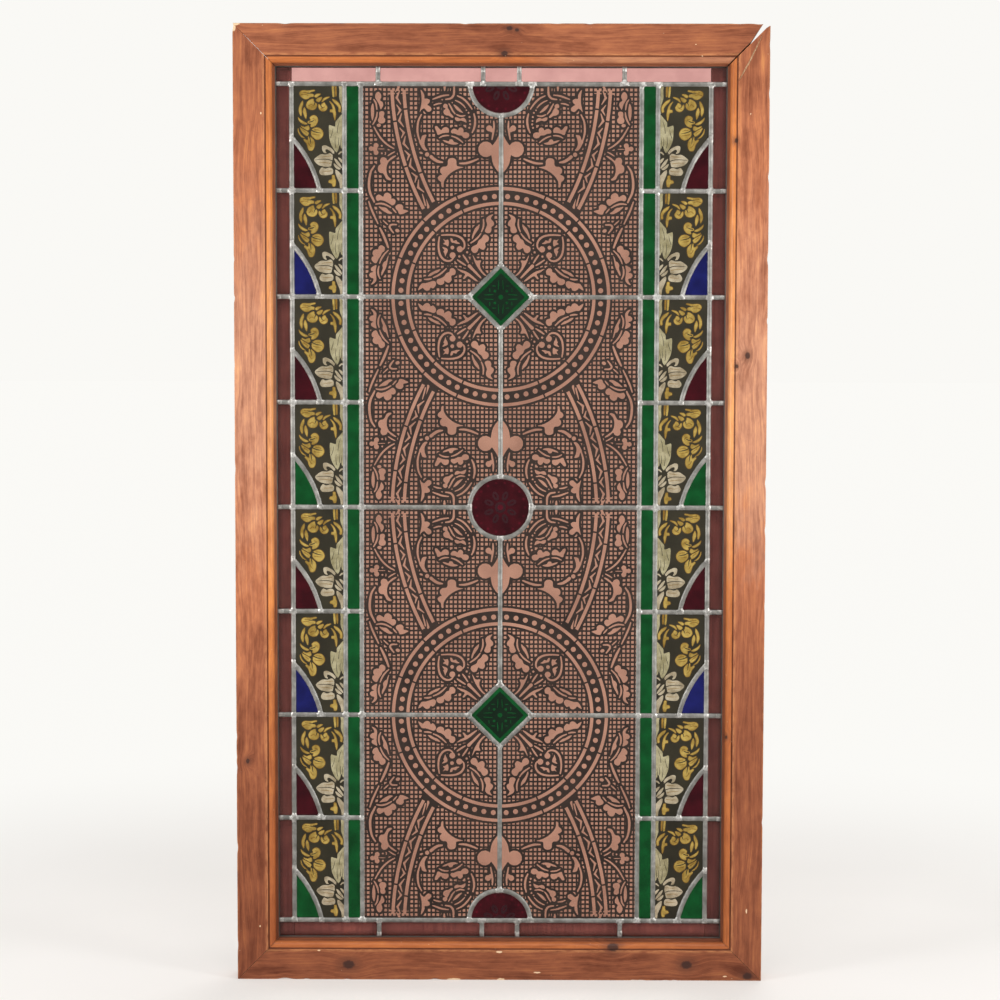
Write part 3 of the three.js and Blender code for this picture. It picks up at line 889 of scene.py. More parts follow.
def list_joints():
    """Where cames meet and are soldered."""
    edge = edge_came_inner - 1.5
    edge_low = frame_high.x - edge
    joints = []
    for row in range(rows + 1):
        z = field_bottom + row * row_height
        for side in (-1, 1):
            joints += [(side * line, z) for line in (side_line, strip_line, field_line)]
            joints.append((side * edge, z))
            if row < rows:
                joints.append((side * side_line, z + corner_rise))
                joints.append((side * (side_line - corner_run), z))
    for side in (-1, 1):
        for x in short_cames:
            joints += [(side * x, field_top), (side * x, field_bottom),
                       (side * x, frame_height - edge_low), (side * x, edge_low)]
        joints += [(side * roundel_radius, field_top), (side * roundel_radius, field_bottom)]
    for line in range(tiers + 1):
        z = field_top - line * tier_height
        reach = jewel_reach(line)
        if line > 0:
            joints.append((0, z + reach))
        if line < tiers:
            joints.append((0, z - reach))
        if 0 < line < tiers:
            joints += [(-reach, z), (reach, z)]
    return joints


def distances(points, segments):
    """From each point to the nearest lead line."""
    start, end = segments
    along = end - start
    length = (along ** 2).sum(1)
    offset = points[:, None, :] - start[None]
    share = np.clip((offset * along[None]).sum(2) / length[None], 0, 1)
    nearest = start[None] + share[..., None] * along[None]
    return np.sqrt(((points[:, None, :] - nearest) ** 2).sum(2)).min(1)


def add_blob(vertices, faces, centre, segments, chance, front):
    """A wiped joint of solder: it follows the cames that meet there and swells over them."""
    turns, rings = 28, 5
    reach = chance.uniform(4.2, 8.0)
    steps = np.arange(2.4, reach + 0.01, 0.4)
    radii = []
    for i in range(turns):
        angle = 2 * math.pi * i / turns
        line = np.array([(centre[0] + s * math.cos(angle), centre[1] + s * math.sin(angle))
                         for s in steps])
        outside = np.nonzero(distances(line, segments) > CAME_WIDTH / 2 - 0.1)[0]
        radii.append(float(steps[outside[0]]) if len(outside) else float(steps[-1]))
    smooth = [max(radii[i] * 0.6, (radii[i - 1] + 2 * radii[i] + radii[(i + 1) % turns]) / 4)
              for i in range(turns)]
    crown = chance.uniform(0.2, 0.5)
    base = len(vertices)
    face_y = came_front if front else came_back
    out = -1 if front else 1
    lip_y = frame_front + LIP_BACK + 0.05
    hidden = MEMBER_WIDTH + 0.4

    def put(share, angle, radius):
        x = centre[0] + share * radius * math.cos(angle)
        z = centre[1] + share * radius * math.sin(angle)
        lump = 0.12 * noise.noise(Vector((x * 0.5, z * 0.5, 3.0 + out)))
        height = crown * (1 - share ** 2.0) + lump * (1 - share) - 0.9 * share ** 3
        y = face_y + out * height
        if front and (abs(x) > sight_edge - 0.4 or z > frame_height - hidden or z < hidden):
            y = max(y, lip_y)
        return (x, y, z)

    vertices.append(put(0, 0, 0))
    for ring in range(1, rings + 1):
        share = (ring / rings) ** 0.8
        for i in range(turns):
            vertices.append(put(share, 2 * math.pi * i / turns, smooth[i]))
    under = len(vertices)
    vertices.append((centre[0], face_y - out * 1.0, centre[1]))
    for i in range(turns):
        j = (i + 1) % turns
        faces.append((base, base + 1 + i, base + 1 + j))
        for ring in range(1, rings):
            inner = base + 1 + (ring - 1) * turns
            outer = inner + turns
            faces.append((inner + i, outer + i, outer + j, inner + j))
        rim = base + 1 + (rings - 1) * turns
        faces.append((rim + i, under, rim + j))


def build_lead():
    cames = list_cames()
    vertices, faces = [], []
    plain = came_section(CAME_WIDTH / 2, -HEART, HEART)
    for path, closed in cames:
        sweep_came(vertices, faces, path, closed, plain, 0.07)
    edge = (panel_edge + edge_came_inner) / 2
    half = (panel_edge - edge_came_inner) / 2
    low, high = frame_high.x - edge, frame_height - (frame_high.x - edge)
    round_the_edge = [Vector((-edge, low)), Vector((edge, low)),
                      Vector((edge, high)), Vector((-edge, high))]
    broad = came_section(half, -half, edge - border_edge - 0.3)
    sweep_came(vertices, faces, round_the_edge, True, broad, 0.0)
    net = make_object("lead_came_net", vertices, faces, [LEAD])
    face_outwards(net)
    sharpen(net, 40)
    settle(net, "lead", "lead_cames")

    lines = [(a, b) for path, closed in cames
             for a, b in zip(path, path[1:] + (path[:1] if closed else []))]
    segments = (np.array([a[:] for a, b in lines]), np.array([b[:] for a, b in lines]))
    vertices, faces = [], []
    chance = random.Random(11)
    for joint in list_joints():
        for front in (True, False):
            add_blob(vertices, faces, joint, segments, chance, front)
    blobs = make_object("solder_joints", vertices, faces, [SOLDER])
    face_outwards(blobs)
    settle(blobs, "lead", "lead_cames")


# ---- flat drawing ------------------------------------------------------------------------------

def on_curve(a, b, c, d, t):
    """A point of the Catmull-Rom curve between b and c."""
    return 0.5 * (2 * b + (c - a) * t + (2 * a - 5 * b + 4 * c - d) * t * t
                  + (3 * b - a - 3 * c + d) * t ** 3)


def smooth_line(points, steps=4):
    """An open curve through the points."""
    points = [Vector(p) for p in points]
    if len(points) < 3:
        return points
    padded = [2 * points[0] - points[1]] + points + [2 * points[-1] - points[-2]]
    line = []
    for i in range(1, len(padded) - 2):
        line += [on_curve(*padded[i - 1:i + 3], step / steps) for step in range(steps)]
    line.append(points[-1])
    return line


def dot(x, y, radius, other=None, turn=0.0):
    """A disc, or an ellipse where other is its second radius and turn its tilt in degrees."""
    def shape(grow):
        first, second = radius + grow, (other or radius) + grow
        count = max(8, min(20, round(3.2 * math.sqrt(max(first, second)) + 3)))
        tilt = math.radians(turn)
        points = []
        for i in range(count):
            angle = 2 * math.pi * i / count
            a, b = first * math.cos(angle), second * math.sin(angle)
            points.append((x + a * math.cos(tilt) - b * math.sin(tilt),
                           y + a * math.sin(tilt) + b * math.cos(tilt)))
        return points
    return shape


def stroke(width, *points, steps=4):
    """A brush stroke through the points. width is one number, which tapers to both ends, or
    the widths at the start, the middle and the end."""
    start, middle, end = width if isinstance(width, tuple) else (0.65 * width, width, 0.65 * width)
    line = smooth_line(points, steps)
    if len(line) == 2:
        line = [line[0], (line[0] + line[1]) / 2, line[1]]

    def shape(grow):
        left, right = [], []
        last = len(line) - 1
        for i, point in enumerate(line):
            t = i / last
            if t < 0.5:
                half = start + (middle - start) * math.sin(math.pi * t)
            else:
                half = end + (middle - end) * math.sin(math.pi * t)
            half = half / 2 + grow
            direction = (line[min(i + 1, last)] - line[max(i - 1, 0)]).normalized()
            normal = Vector((-direction.y, direction.x))
            left.append(point + normal * half)
            right.append(point - normal * half)
            if i in (0, last):
                cap = [point + half * (normal * math.cos(a) + direction * math.sin(a) * (1 if i else -1))
                       for a in (math.pi / 4, math.pi / 2, 3 * math.pi / 4)]
                if i == 0:
                    first_cap = cap
                else:
                    last_cap = cap
        return [p[:] for p in left + last_cap + right[::-1] + first_cap[::-1]]
    return shape


def blot(*points):
    """A closed shape with a rounded outline through the points."""
    corners = [Vector(p) for p in points]
    count = len(corners)
    steps = 3
    line = []
    for i in range(count):
        near = [corners[(i + k) % count] for k in (-1, 0, 1, 2)]
        line += [on_curve(*near, step / steps) for step in range(steps)]
    area = sum(p.cross(q) for p, q in zip(line, line[1:] + line[:1]))
    outward = 1 if area > 0 else -1

    def shape(grow):
        result = []
        for i, point in enumerate(line):
            along = (line[(i + 1) % len(line)] - line[i - 1]).normalized()
            result.append((point + Vector((along.y, -along.x)) * grow * outward)[:])
        return result
    return shape


def inside(points, outline):
    """Which of these points lie inside an outline, by winding."""
    x, y = points[:, 0], points[:, 1]
    winding = np.zeros(len(points), int)
    corners = np.asarray(outline, float)
    for (x1, y1), (x2, y2) in zip(corners, np.roll(corners, -1, 0)):
        side = (x2 - x1) * (y - y1) - (y2 - y1) * (x - x1)
        winding += ((y1 <= y) & (y2 > y) & (side > 0)).astype(int)
        winding -= ((y1 > y) & (y2 <= y) & (side < 0)).astype(int)
    return winding != 0


def coloured(points, outline, layers, ground):
    """The kind of paint at each point, or -1 outside the pane. Later layers lie on top."""
    kinds = np.full(len(points), -1)
    within = inside(points, outline)
    kinds[within] = ground
    for kind, shape in layers:
        low, high = np.min(shape, 0), np.max(shape, 0)
        near = np.nonzero(within & (points > low).all(1) & (points < high).all(1))[0]
        if len(near):
            kinds[near[inside(points[near], shape)]] = kind
    return kinds


def triangulate(corners, edges):
    result = delaunay_2d_cdt([Vector(c) for c in corners], edges, [], 0, 1e-5, False)
    vertices = np.array([v[:] for v in result[0]])
    return vertices, result[1], np.array(result[2])


def paint_by_areas(outline, layers, ground):
    """Splits a pane into triangles of one kind each. The first pass finds where the layers
    cross, and the second keeps only the edges where the kind changes."""
    corners, edges = [], []
    for shape in [outline] + [shape for _, shape in layers]:
        base = len(corners)
        count = len(shape)
        corners += [tuple(p) for p in shape]
        edges += [(base + i, base + (i + 1) % count) for i in range(count)]
    vertices, _, triangles = triangulate(corners, edges)
    kinds = coloured(vertices[triangles].mean(1), outline, layers, ground)

    beside = {}
    for triangle, kind in zip(triangles.tolist(), kinds.tolist()):
        for i in range(3):
            key = tuple(sorted((triangle[i], triangle[(i + 1) % 3])))
            beside.setdefault(key, []).append(kind)
    kept = [key for key, sides in beside.items()
            if (len(sides) == 2 and sides[0] != sides[1]) or (len(sides) == 1 and sides[0] >= 0)]
    used = sorted({v for key in kept for v in key})
    renumber = {v: i for i, v in enumerate(used)}
    vertices, _, triangles = triangulate(
        [tuple(vertices[v]) for v in used], [(renumber[a], renumber[b]) for a, b in kept])
    kinds = coloured(vertices[triangles].mean(1), outline, layers, ground)
    keep = kinds >= 0
    return vertices, triangles[keep], kinds[keep]


def pane_solid(name, painted, materials, back_kind, to_window, ripple=0.0):
    """A pane with its painted front, its edges and a plain back. to_window takes the drawing's
    coordinates to x and z."""
    vertices, triangles, kinds = painted
    places = [to_window(x, y) for x, y in vertices]
    used = sorted(set(triangles.ravel().tolist()))
    renumber = {v: i for i, v in enumerate(used)}
    points, faces, face_kinds = [], [], []
    for depth in (glass_front, glass_back):
        for v in used:
            x, z = places[v]
            wave = ripple * noise.noise(Vector((x * 0.045, depth, z * 0.045)))
            points.append((x, depth + wave, z))
    count = len(used)
    a, b, c = (Vector(places[v]) for v in triangles[0])
    flipped = (b - a).cross(c - a) < 0
    border = {}
    for triangle, kind in zip(triangles.tolist(), kinds.tolist()):
        face = [renumber[v] for v in triangle]
        if flipped:
            face.reverse()
        faces.append(tuple(face))
        face_kinds.append(kind)
        for i in range(3):
            first, second = face[i], face[(i + 1) % 3]
            if (second, first) in border:
                del border[(second, first)]
            else:
                border[(first, second)] = True
    following = {first: second for first, second in border}
    loop = [next(iter(following))]
    while following[loop[-1]] != loop[0]:
        loop.append(following[loop[-1]])
    for first, second in zip(loop, loop[1:] + loop[:1]):
        faces.append((second, first, first + count, second + count))
        face_kinds.append(back_kind)
    if ripple:
        for triangle in faces[:len(triangles)]:
            faces.append(tuple(v + count for v in reversed(triangle)))
            face_kinds.append(back_kind)
    else:
        faces.append(tuple(v + count for v in reversed(loop)))
        face_kinds.append(back_kind)
    piece = make_object(name, points, faces, materials, face_kinds)
    tidy_pane(piece)
    return piece


def tidy_pane(piece):
    """Drops the back's unused points, and keeps the rim crisp."""
    mesh = bmesh.new()
    mesh.from_mesh(piece.data)
    loose = [v for v in mesh.verts if not v.link_faces]
    bmesh.ops.delete(mesh, geom=loose, context="VERTS")
    mesh.to_mesh(piece.data)
    mesh.free()
    face_outwards(piece)
    sharpen(piece, 30)
    piece.visible_shadow = False


# ---- stencilled panes --------------------------------------------------------------------------

# The stencil is drawn for the pane at the upper left, by points given in millimetres
# right and down from about the frame's corner. The sheet is stretched a little to fit the pane:
# its right edge is the window's middle line, and its top is the roundel's.
SHEET_RIGHT = 324.0
SHEET_TOP = 73.0
SHEET_WIDTH = 170.0
SHEET_HEIGHT = 253.0
HALO = 2.8                                         # dark round every clear line and flower
PAINT, CLEAR = 0, 1


def from_sheet(x, y):
    """Out from the middle line, and from the roundel's line towards the diamond's."""
    return ((SHEET_RIGHT - x) * field_line / SHEET_WIDTH,
            (y - SHEET_TOP) * tier_height / SHEET_HEIGHT)


def ground_squares():
    """The cross-hatched ground: small clear squares between painted lines."""
    pitch, half = 5.4, 1.62
    layers = []
    x = SHEET_RIGHT - 0.8
    while x > SHEET_RIGHT - SHEET_WIDTH - half:
        y = SHEET_TOP + 1.4
        while y < SHEET_TOP + SHEET_HEIGHT + half:
            layers.append((CLEAR, [(x - half, y - half), (x + half, y - half),
                                   (x + half, y + half), (x - half, y + half)]))
            y += pitch
        x -= pitch
    return layers


def bent_strip(centre, inner, outer, start, end, steps):
    """Part of a flat ring about centre, between two angles in degrees."""
    angles = [math.radians(start + (end - start) * i / steps) for i in range(steps + 1)]
    points = [(centre[0] + outer * math.cos(a), centre[1] + outer * math.sin(a)) for a in angles]
    return points + [(centre[0] + inner * math.cos(a), centre[1] + inner * math.sin(a))
                     for a in reversed(angles)]


def strap_band():
    """The broad curved strap: two lines with ties, and a zigzag between them."""
    centre = (514.0, 68.5)
    outer, inner = 322.4, 307.8
    half = 2.0
    layers = [(PAINT, bent_strip(centre, inner - half - HALO, outer + half + HALO, 177, 150.5, 16))]

    def at_height(radius, y):
        return 180 - math.degrees(math.asin((y - centre[1]) / radius))

    for radius, ties, end in ((outer, (117.3, 170.8), 222.0), (inner, (102.7, 178.2), 213.6)):
        stops = [79.0] + list(ties) + [end]
        tie = math.degrees(1.0 / radius)
        for first, second in zip(stops, stops[1:]):
            layers.append((CLEAR, bent_strip(
                centre, radius - half, radius + half,
                at_height(radius, first) - tie, at_height(radius, second) + tie, 9)))

    middle = (outer + inner) / 2
    clear_width = outer - inner - 2 * half
    period = 27.3
    marks_end = 214
    marks = (((0, 0.68), (8, 0.30), (16, 0.70)), ((16.5, 0.24), (23, 0.60), (28.3, 0.20)))
    for repeat in range(-1, 6):
        for mark in marks:
            points = []
            for along, share in mark:
                angle = math.radians(177.7) - (repeat * period + along) / middle
                radius = middle + (0.5 - share) * clear_width
                points.append((centre[0] + radius * math.cos(angle),
                               centre[1] + radius * math.sin(angle)))
            if all(y < marks_end for _, y in points):
                layers.append((CLEAR, stroke((1.0, 3.2, 1.0), *points, steps=1)(0)))
    # the last marks, where the strap runs into the ring
    layers.append((CLEAR, blot((233.2, 209), (235, 213), (237.2, 219), (234.6, 220.6),
                               (234, 215))(0)))
    layers.append((CLEAR, stroke((1.0, 1.8, 1.8), (228.6, 203.5), (231, 212), (232.2, 217))(0)))
    return layers


def big_ring():
    """The ring about the diamond, with two lines, their ties and a row of dots between."""
    def on_ring(radius, degrees):
        angle = math.radians(degrees)
        x = radius * math.sin(angle)
        y = tier_height - radius * math.cos(angle)
        return (SHEET_RIGHT - x * SHEET_WIDTH / field_line,
                SHEET_TOP + y * SHEET_HEIGHT / tier_height)

    def band(low, high, start, end, steps):
        angles = [start + (end - start) * i / steps for i in range(steps + 1)]
        return ([on_ring(high, a) for a in angles] + [on_ring(low, a) for a in reversed(angles)])

    outer, inner, half = 132.0, 114.0, 2.0
    layers = [(PAINT, band(inner - half - HALO, outer + half + HALO, -3, 93, 32))]
    stops = (-3.0, 24.0, 45.5, 69.0, 93.0)
    for radius in (outer, inner):
        tie = math.degrees(1.0 / radius)
        for first, second in zip(stops, stops[1:]):
            layers.append((CLEAR, band(radius - half, radius + half, first + tie, second - tie, 9)))
    for k in range(16):
        x, y = on_ring((outer + inner) / 2 - 0.5, 3.75 + 5.5 * k)
        layers.append((CLEAR, dot(x, y, 3.2)(0)))
    return layers


def outer_flowers():
    """Sprays between the strap band and the green strips."""
    return [
        # the leaf at the top
        blot((175, 82.3), (178, 84.5), (178.9, 88.5), (177.4, 92.4), (180.4, 94.6), (181.2, 98),
             (179.8, 101.2), (178, 103), (176.4, 98), (174, 93.5), (171.6, 89.5), (172, 85)),
        blot((179, 105.3), (182, 106), (182.6, 108.8), (181.6, 111.8), (183.6, 115), (183, 118.4),
             (180, 119.8), (176.4, 119.3), (174.8, 116), (176.3, 112), (176.4, 107)),
        dot(175.8, 122, 2.7, 2.1),
        stroke(2.1, (169.8, 91.5), (172.4, 96), (173.5, 103.3)),
        stroke(2.1, (173.9, 106.5), (173, 112), (171, 117), (168.6, 121)),
        blot((168.6, 96), (166.6, 100), (166.2, 106), (166.7, 112), (168.1, 116.4), (169.6, 112),
             (170.2, 106), (169.8, 100)),
        stroke(2.2, (170, 124), (173.4, 130), (178, 137), (183, 142.3), (188.5, 146.5), (194, 149.5)),
        # the trefoil
        dot(172.4, 145.9, 3.1), dot(166.5, 149.6, 2.9), dot(172.4, 154.2, 3.1), dot(171, 150, 3.2),
        stroke(1.0, (175, 150), (182.5, 150)), dot(179.4, 146.3, 1.2), dot(179.4, 155.2, 1.2),
        # the hooked leaf
        stroke(1.7, (187, 158), (191, 155.4), (195, 153.4)),
        blot((181, 159.8), (184.6, 161), (186.3, 163.6), (190.5, 160.2), (194.5, 158),
             (196.8, 158.2), (192.5, 161.6), (188.4, 164.6), (186, 168.5), (185, 173), (185.3, 178),
             (187, 182.4), (190.7, 185.8), (189, 187.2), (185, 185.6), (182.8, 181.6),
             (180.6, 178.8), (177, 178.3), (174.7, 175), (175.2, 170.4), (178, 167.7),
             (177.2, 164.4), (178.4, 161)),
        stroke(3.0, (170.3, 170.3), (166.5, 176), (164.6, 183), (163.8, 190), (164, 197),
               (165.6, 203.5), (168.6, 209.5), (170.2, 213)),
        stroke(2.4, (163.5, 212.5), (166.4, 221), (170, 229), (174.5, 238.5)),
        stroke(3.1, (177, 244), (180.8, 251.5), (184, 259), (187, 267)),
        # the spreading leaf
        blot((172, 208.6), (173, 205.4), (176, 204.1), (179.2, 205.8), (181.2, 206.6),
             (182.6, 203.3), (186, 201.9), (189.8, 203.9), (191, 207.3), (190.6, 209),
             (193.8, 209), (196, 211.5), (195.2, 215), (192, 217), (188, 214.5), (183, 212),
             (178, 210.8), (174, 211.6)),
        blot((196, 218), (199, 215.9), (202.6, 215.7), (205.2, 218), (205.3, 221.6),
             (208, 222.3), (211.5, 223.7), (208, 225.7), (204.5, 227.2), (200.5, 227.2),
             (198.8, 223.5), (196.4, 221)),
        stroke(2.2, (172, 215.5), (178, 214.8), (184, 216.2), (190.2, 219.4)),
        stroke(1.9, (192.5, 220.8), (196.6, 225.6)),
        blot((175.4, 218.3), (180, 219.2), (184.6, 220), (188, 223.4), (192, 226.2), (188, 227),
             (183, 224.8), (178.4, 221.6)),
        stroke(1.8, (181, 235), (186.3, 239.8)),
        stroke(2.4, (197, 239.8), (191, 240), (188.7, 242.5), (190.5, 246), (193.4, 249.6)),
        dot(198.2, 247, 2.8, 2.1, 20),
        # the leaf at the bottom
        blot((176, 265.8), (179, 264.5), (182.6, 266.8), (182.5, 271), (179.5, 273.6), (178, 277),
             (175, 281), (172.5, 285.8), (169, 284.8), (166.7, 281.5), (167.4, 278.2),
             (169.3, 277.6), (167.9, 274.6), (168.8, 271), (172.3, 269.3), (174.7, 269.3)),
        blot((172.7, 288.3), (169.5, 289.2), (166.2, 291.5), (166.2, 294.5), (168.9, 296.3),
             (165.4, 297.4), (163.8, 300.3), (166, 303.2), (169, 304.2), (168.5, 307.5),
             (165.8, 311.3), (169, 310.4), (172.5, 306.5), (172.2, 300), (171.8, 294)),
        stroke(2.1, (187, 270.5), (182, 275.5), (178.5, 281), (176.5, 286)),
        stroke(2.2, (175.8, 289.5), (174.7, 294), (175, 299.5), (177, 304.2)),
        blot((187.6, 276.6), (186.6, 281.5), (185.8, 286), (184.6, 290.5), (182.4, 295),
             (178.9, 300.8), (178.6, 297), (180.5, 292), (180, 288), (182, 284.3), (184.4, 283),
             (185.6, 279.5)),
    ]


def middle_flowers():
    """Sprays between the strap band and the middle line, with the fleur-de-lis at the ring."""
    return [
        # the pennant leaf
        blot((226.5, 79.8), (229, 82.5), (231, 86.5), (231.2, 90.3), (234, 90.3), (237.5, 92),
             (237, 95), (234.6, 97.6), (236.6, 98.9), (239.3, 101.4), (239, 104.7),
             (235.5, 106), (232.6, 103.6), (230.5, 101.9), (227.5, 103.6), (225.5, 106.3),
             (226.2, 102), (227.3, 97), (227.7, 91), (227.2, 85)),
        stroke(2.2, (241.3, 91), (247, 89), (253, 87), (260.5, 86)),
        stroke(1.9, (242.5, 98), (247, 96.5), (251.5, 96)),
        stroke(2.6, (267, 74.5), (267, 80), (266.4, 86), (263, 90), (257, 91.2)),
        stroke(2.8, (255.5, 74), (255.5, 80.5)),
        # the spray that coils in the middle
        stroke(2.3, (271, 87), (276.5, 89.5), (281, 93), (285, 97.5), (288.6, 102.6)),
        stroke(2.6, (291, 108.3), (292.3, 114), (292.3, 120), (291, 126), (289, 130.3)),
        stroke(1.8, (268.5, 92.4), (273, 94.4), (277.5, 97.6), (280.8, 101.3)),
        dot(281.8, 104, 1.0), dot(284.5, 107, 1.2), dot(285.7, 112, 1.3), dot(286, 116.6, 1.2),
        dot(286.4, 120.6, 1.3), dot(285.4, 124.7, 1.3),
        blot((266.2, 97.3), (269, 98.3), (271.6, 100.2), (274, 102.6), (277.8, 107), (274, 106),
             (270.6, 103.8), (268.2, 101)),
        stroke(2.1, (260.8, 96.4), (263.4, 101), (265.5, 105), (268.2, 108.3)),
        blot((253.8, 98.5), (256, 96.3), (259, 97.8), (259.2, 101), (261.2, 104), (262.7, 107.5),
             (266.3, 111.6), (264.6, 113), (261, 110.6), (257.5, 110), (254.6, 108),
             (254.3, 104.5), (256.8, 102), (254.3, 101)),
        stroke(2.0, (270, 109.2), (275, 111), (280.2, 110.4)),
        blot((268, 112.6), (271.5, 112.8), (274.5, 114), (278, 113), (280.8, 114.5), (282, 118.6),
             (278.5, 117.2), (275, 116.2), (271.5, 117), (268.8, 115.7)),
        stroke(2.5, (227.3, 109.3), (223.7, 117), (222.6, 126), (223.2, 133), (225.5, 141)),
        blot((231, 133.2), (233.6, 133.4), (232.2, 137), (231.2, 141), (231.2, 145),
             (232.6, 148.4), (234.7, 151.5), (232, 152), (229.3, 150.2), (226.6, 146),
             (224.4, 141), (226.6, 139), (228.2, 134.6)),
        dot(227, 154.6, 2.3, 1.3, 20), dot(234.3, 156.4, 2.7),
        stroke((4.0, 3.4, 1.8), (239, 159), (243.4, 162.5), (248, 164.9), (253, 165.7)),
        # the open flower
        blot((243.8, 123.3), (246.5, 123), (249, 125.8), (251.4, 127.6), (253.5, 125.3),
             (257, 123.9), (260.4, 126), (260.6, 130.3), (256.5, 130.7), (252, 131.6),
             (247.4, 133.3), (245.8, 129.5), (244.4, 126.6)),
        blot((263.3, 128.5), (266.3, 126), (269.5, 126.4), (271.5, 127.7), (273.2, 125.2),
             (276, 124.5), (278.4, 127), (278.4, 130.2), (281.5, 130), (285, 131.8), (285, 135.2),
             (282, 137.2), (278.4, 136.4), (276, 133.9), (272, 133.6), (268, 131.7), (264, 131.2)),
        stroke(1.9, (249.2, 136.7), (253, 134.8), (257, 134), (260.6, 134)),
        stroke(2.0, (264, 134.6), (269, 136.3), (273.5, 139), (277.6, 142.2)),
        blot((253.2, 139.4), (257, 139.9), (260.4, 140.8), (262, 138.6), (265, 138.8),
             (266.8, 141.4), (269.5, 142.3), (272.3, 143.3), (269, 144.6), (264, 144.6),
             (259, 143), (255.3, 141.4)),
        # the drooping leaf
        blot((259.6, 163.2), (262.3, 160.9), (266.6, 160.8), (269.6, 163.4), (269.9, 167.5),
             (270.6, 170), (274, 170.8), (278.6, 171.6), (273.4, 173), (269, 174.7),
             (264, 177.7), (260, 181), (256.3, 185.5), (254.4, 190), (254.4, 195), (251.8, 194.4),
             (251.2, 189.3), (248.6, 187.2), (247.2, 184), (249.3, 181.4), (252.4, 180.2),
             (250.2, 177.5), (250.5, 173.4), (253.4, 171), (257.4, 170.6), (259.3, 168.3)),
        stroke(2.8, (274, 167), (281, 166.8), (288, 165), (296.2, 161.7)),
        # the fleur-de-lis
        dot(305.6, 150.2, 9.3),
        blot((327, 122), (322, 132), (318.4, 139), (313.8, 145.4), (309.5, 150), (312.3, 158),
             (313.8, 166), (317, 172.6), (321.5, 178), (327, 184), (334, 153)),
        dot(309.5, 125.4, 3.7), dot(312.6, 127.6, 2.6),
        stroke(2.4, (315, 117), (315.3, 124), (314.3, 131), (313, 138.5)),
    ]


def ring_flowers():
    """The heart and the leaves inside the ring."""
    return [
        # the heart
        stroke(2.5, (252, 252.3), (260, 251.9), (267, 252.3), (273, 254), (277.5, 257.5),
               (279.7, 262), (279.4, 267), (276.5, 270)),
        dot(274, 269, 3.8),
        stroke(2.5, (249.3, 254.5), (248.3, 261), (248.3, 268), (249.8, 275), (253.5, 280.5),
               (258.5, 283), (263.5, 282.3), (266.5, 279)),
        dot(265.3, 276.2, 3.7),
        blot((253.8, 257), (256.5, 258.2), (259.7, 257.6), (260.7, 261.5), (259.7, 265.6),
             (257, 263.9), (253.8, 262.6), (256, 260.4)),
        blot((262.6, 256), (265.2, 256.6), (266.4, 259), (269.6, 258.2), (271.2, 260.2),
             (274.3, 262.3), (270.5, 262.6), (267.4, 261.6), (263.8, 260.6)),
        blot((252.8, 266.6), (255.8, 267.1), (259.2, 268.9), (259, 272.5), (257.5, 275),
             (256.6, 277.8), (255.3, 274), (254.3, 271.5), (255.3, 270)),
        dot(265, 267, 2.4),
        # the upper leaf
        blot((314.6, 227.2), (312.5, 230.5), (312, 233), (314.9, 236.3), (315.4, 240),
             (312.4, 242.6), (312.5, 246), (311, 249.2), (307, 249.6), (304.5, 247.5),
             (305.9, 243.5), (307.2, 239.5), (306.2, 235.5), (306.4, 232), (309, 229.4)),
        blot((303, 251.9), (306.5, 251.9), (309.3, 255), (308.7, 259), (305.3, 261.2),
             (304.9, 263.4), (305.4, 266.2), (303, 269.6), (299.4, 268.7), (297.3, 267.6),
             (295, 272.3), (291, 273.4), (288, 270), (288.8, 266.4), (292, 264.6), (295, 262.8),
             (297, 258.5), (300.5, 256)),
        stroke(2.1, (302.6, 233.3), (303, 238.5), (302.3, 243.5), (300.4, 248.2)),
        stroke(2.1, (299.7, 250.3), (296, 255), (292, 258.5), (287.3, 261.6)),
        blot((298, 239.2), (297.5, 243), (295.6, 246.7), (292.3, 251.2), (289.4, 257),
             (288.8, 254), (290.4, 249), (292.4, 244.4), (295.4, 241.3)),
        # stems to the diamond
        dot(273.5, 277.6, 1.4), dot(283, 272.6, 1.4),
        stroke(2.2, (278, 276), (281, 280), (284.4, 285.2)),
        stroke(2.2, (271.3, 281.8), (276, 285), (281.2, 288.2)),
        stroke((4.2, 2.9, 1.8), (285.6, 289), (292, 295.3), (299.5, 303)),
        blot((289.6, 276.2), (291.6, 278.5), (294.2, 282.4), (299.8, 282.4), (298.5, 286.5),
             (299.2, 291), (302.3, 296), (306.5, 300.4), (303.4, 299.8), (298.3, 294.5),
             (294.8, 289), (292, 283.5)),
        blot((270.8, 292.4), (276, 293.8), (282, 295.8), (288, 299.6), (296, 307), (293, 306.6),
             (288, 303.3), (283.5, 301), (280, 304.3), (278, 303.8), (280.6, 298.8),
             (276, 296.4)),
        # the lower leaf
        blot((261.3, 296), (262.3, 292.6), (266, 291.7), (269, 294.8), (268.2, 299),
             (264.2, 300.4), (263.8, 302.6), (264, 306.2), (261, 309), (257.3, 308),
             (255.2, 306.4), (255, 309.3), (252.5, 311.5), (248.5, 311.3), (245.8, 308.5),
             (246.8, 305.2), (251, 303.8), (255, 301.3), (258, 297.5)),
        blot((242.3, 306.8), (245, 308.8), (244.5, 312.6), (241.5, 315.8), (238.6, 314.8),
             (237, 317.8), (233.5, 318.6), (230.4, 316.8), (229, 315.2), (226, 317),
             (223.4, 318), (224.8, 314), (228, 310), (232.5, 309.6), (237, 308.3)),
        stroke(2.1, (257.7, 292.1), (253, 296.5), (247.5, 300.4), (241.8, 302.8)),
        stroke(2.1, (239.4, 304.2), (235.5, 305), (231, 305.1)),
        blot((250.8, 293.1), (246.5, 293.8), (242, 295.8), (238, 298), (235.2, 301.3),
             (239, 300.8), (243, 298.3), (247, 296.8)),
    ]


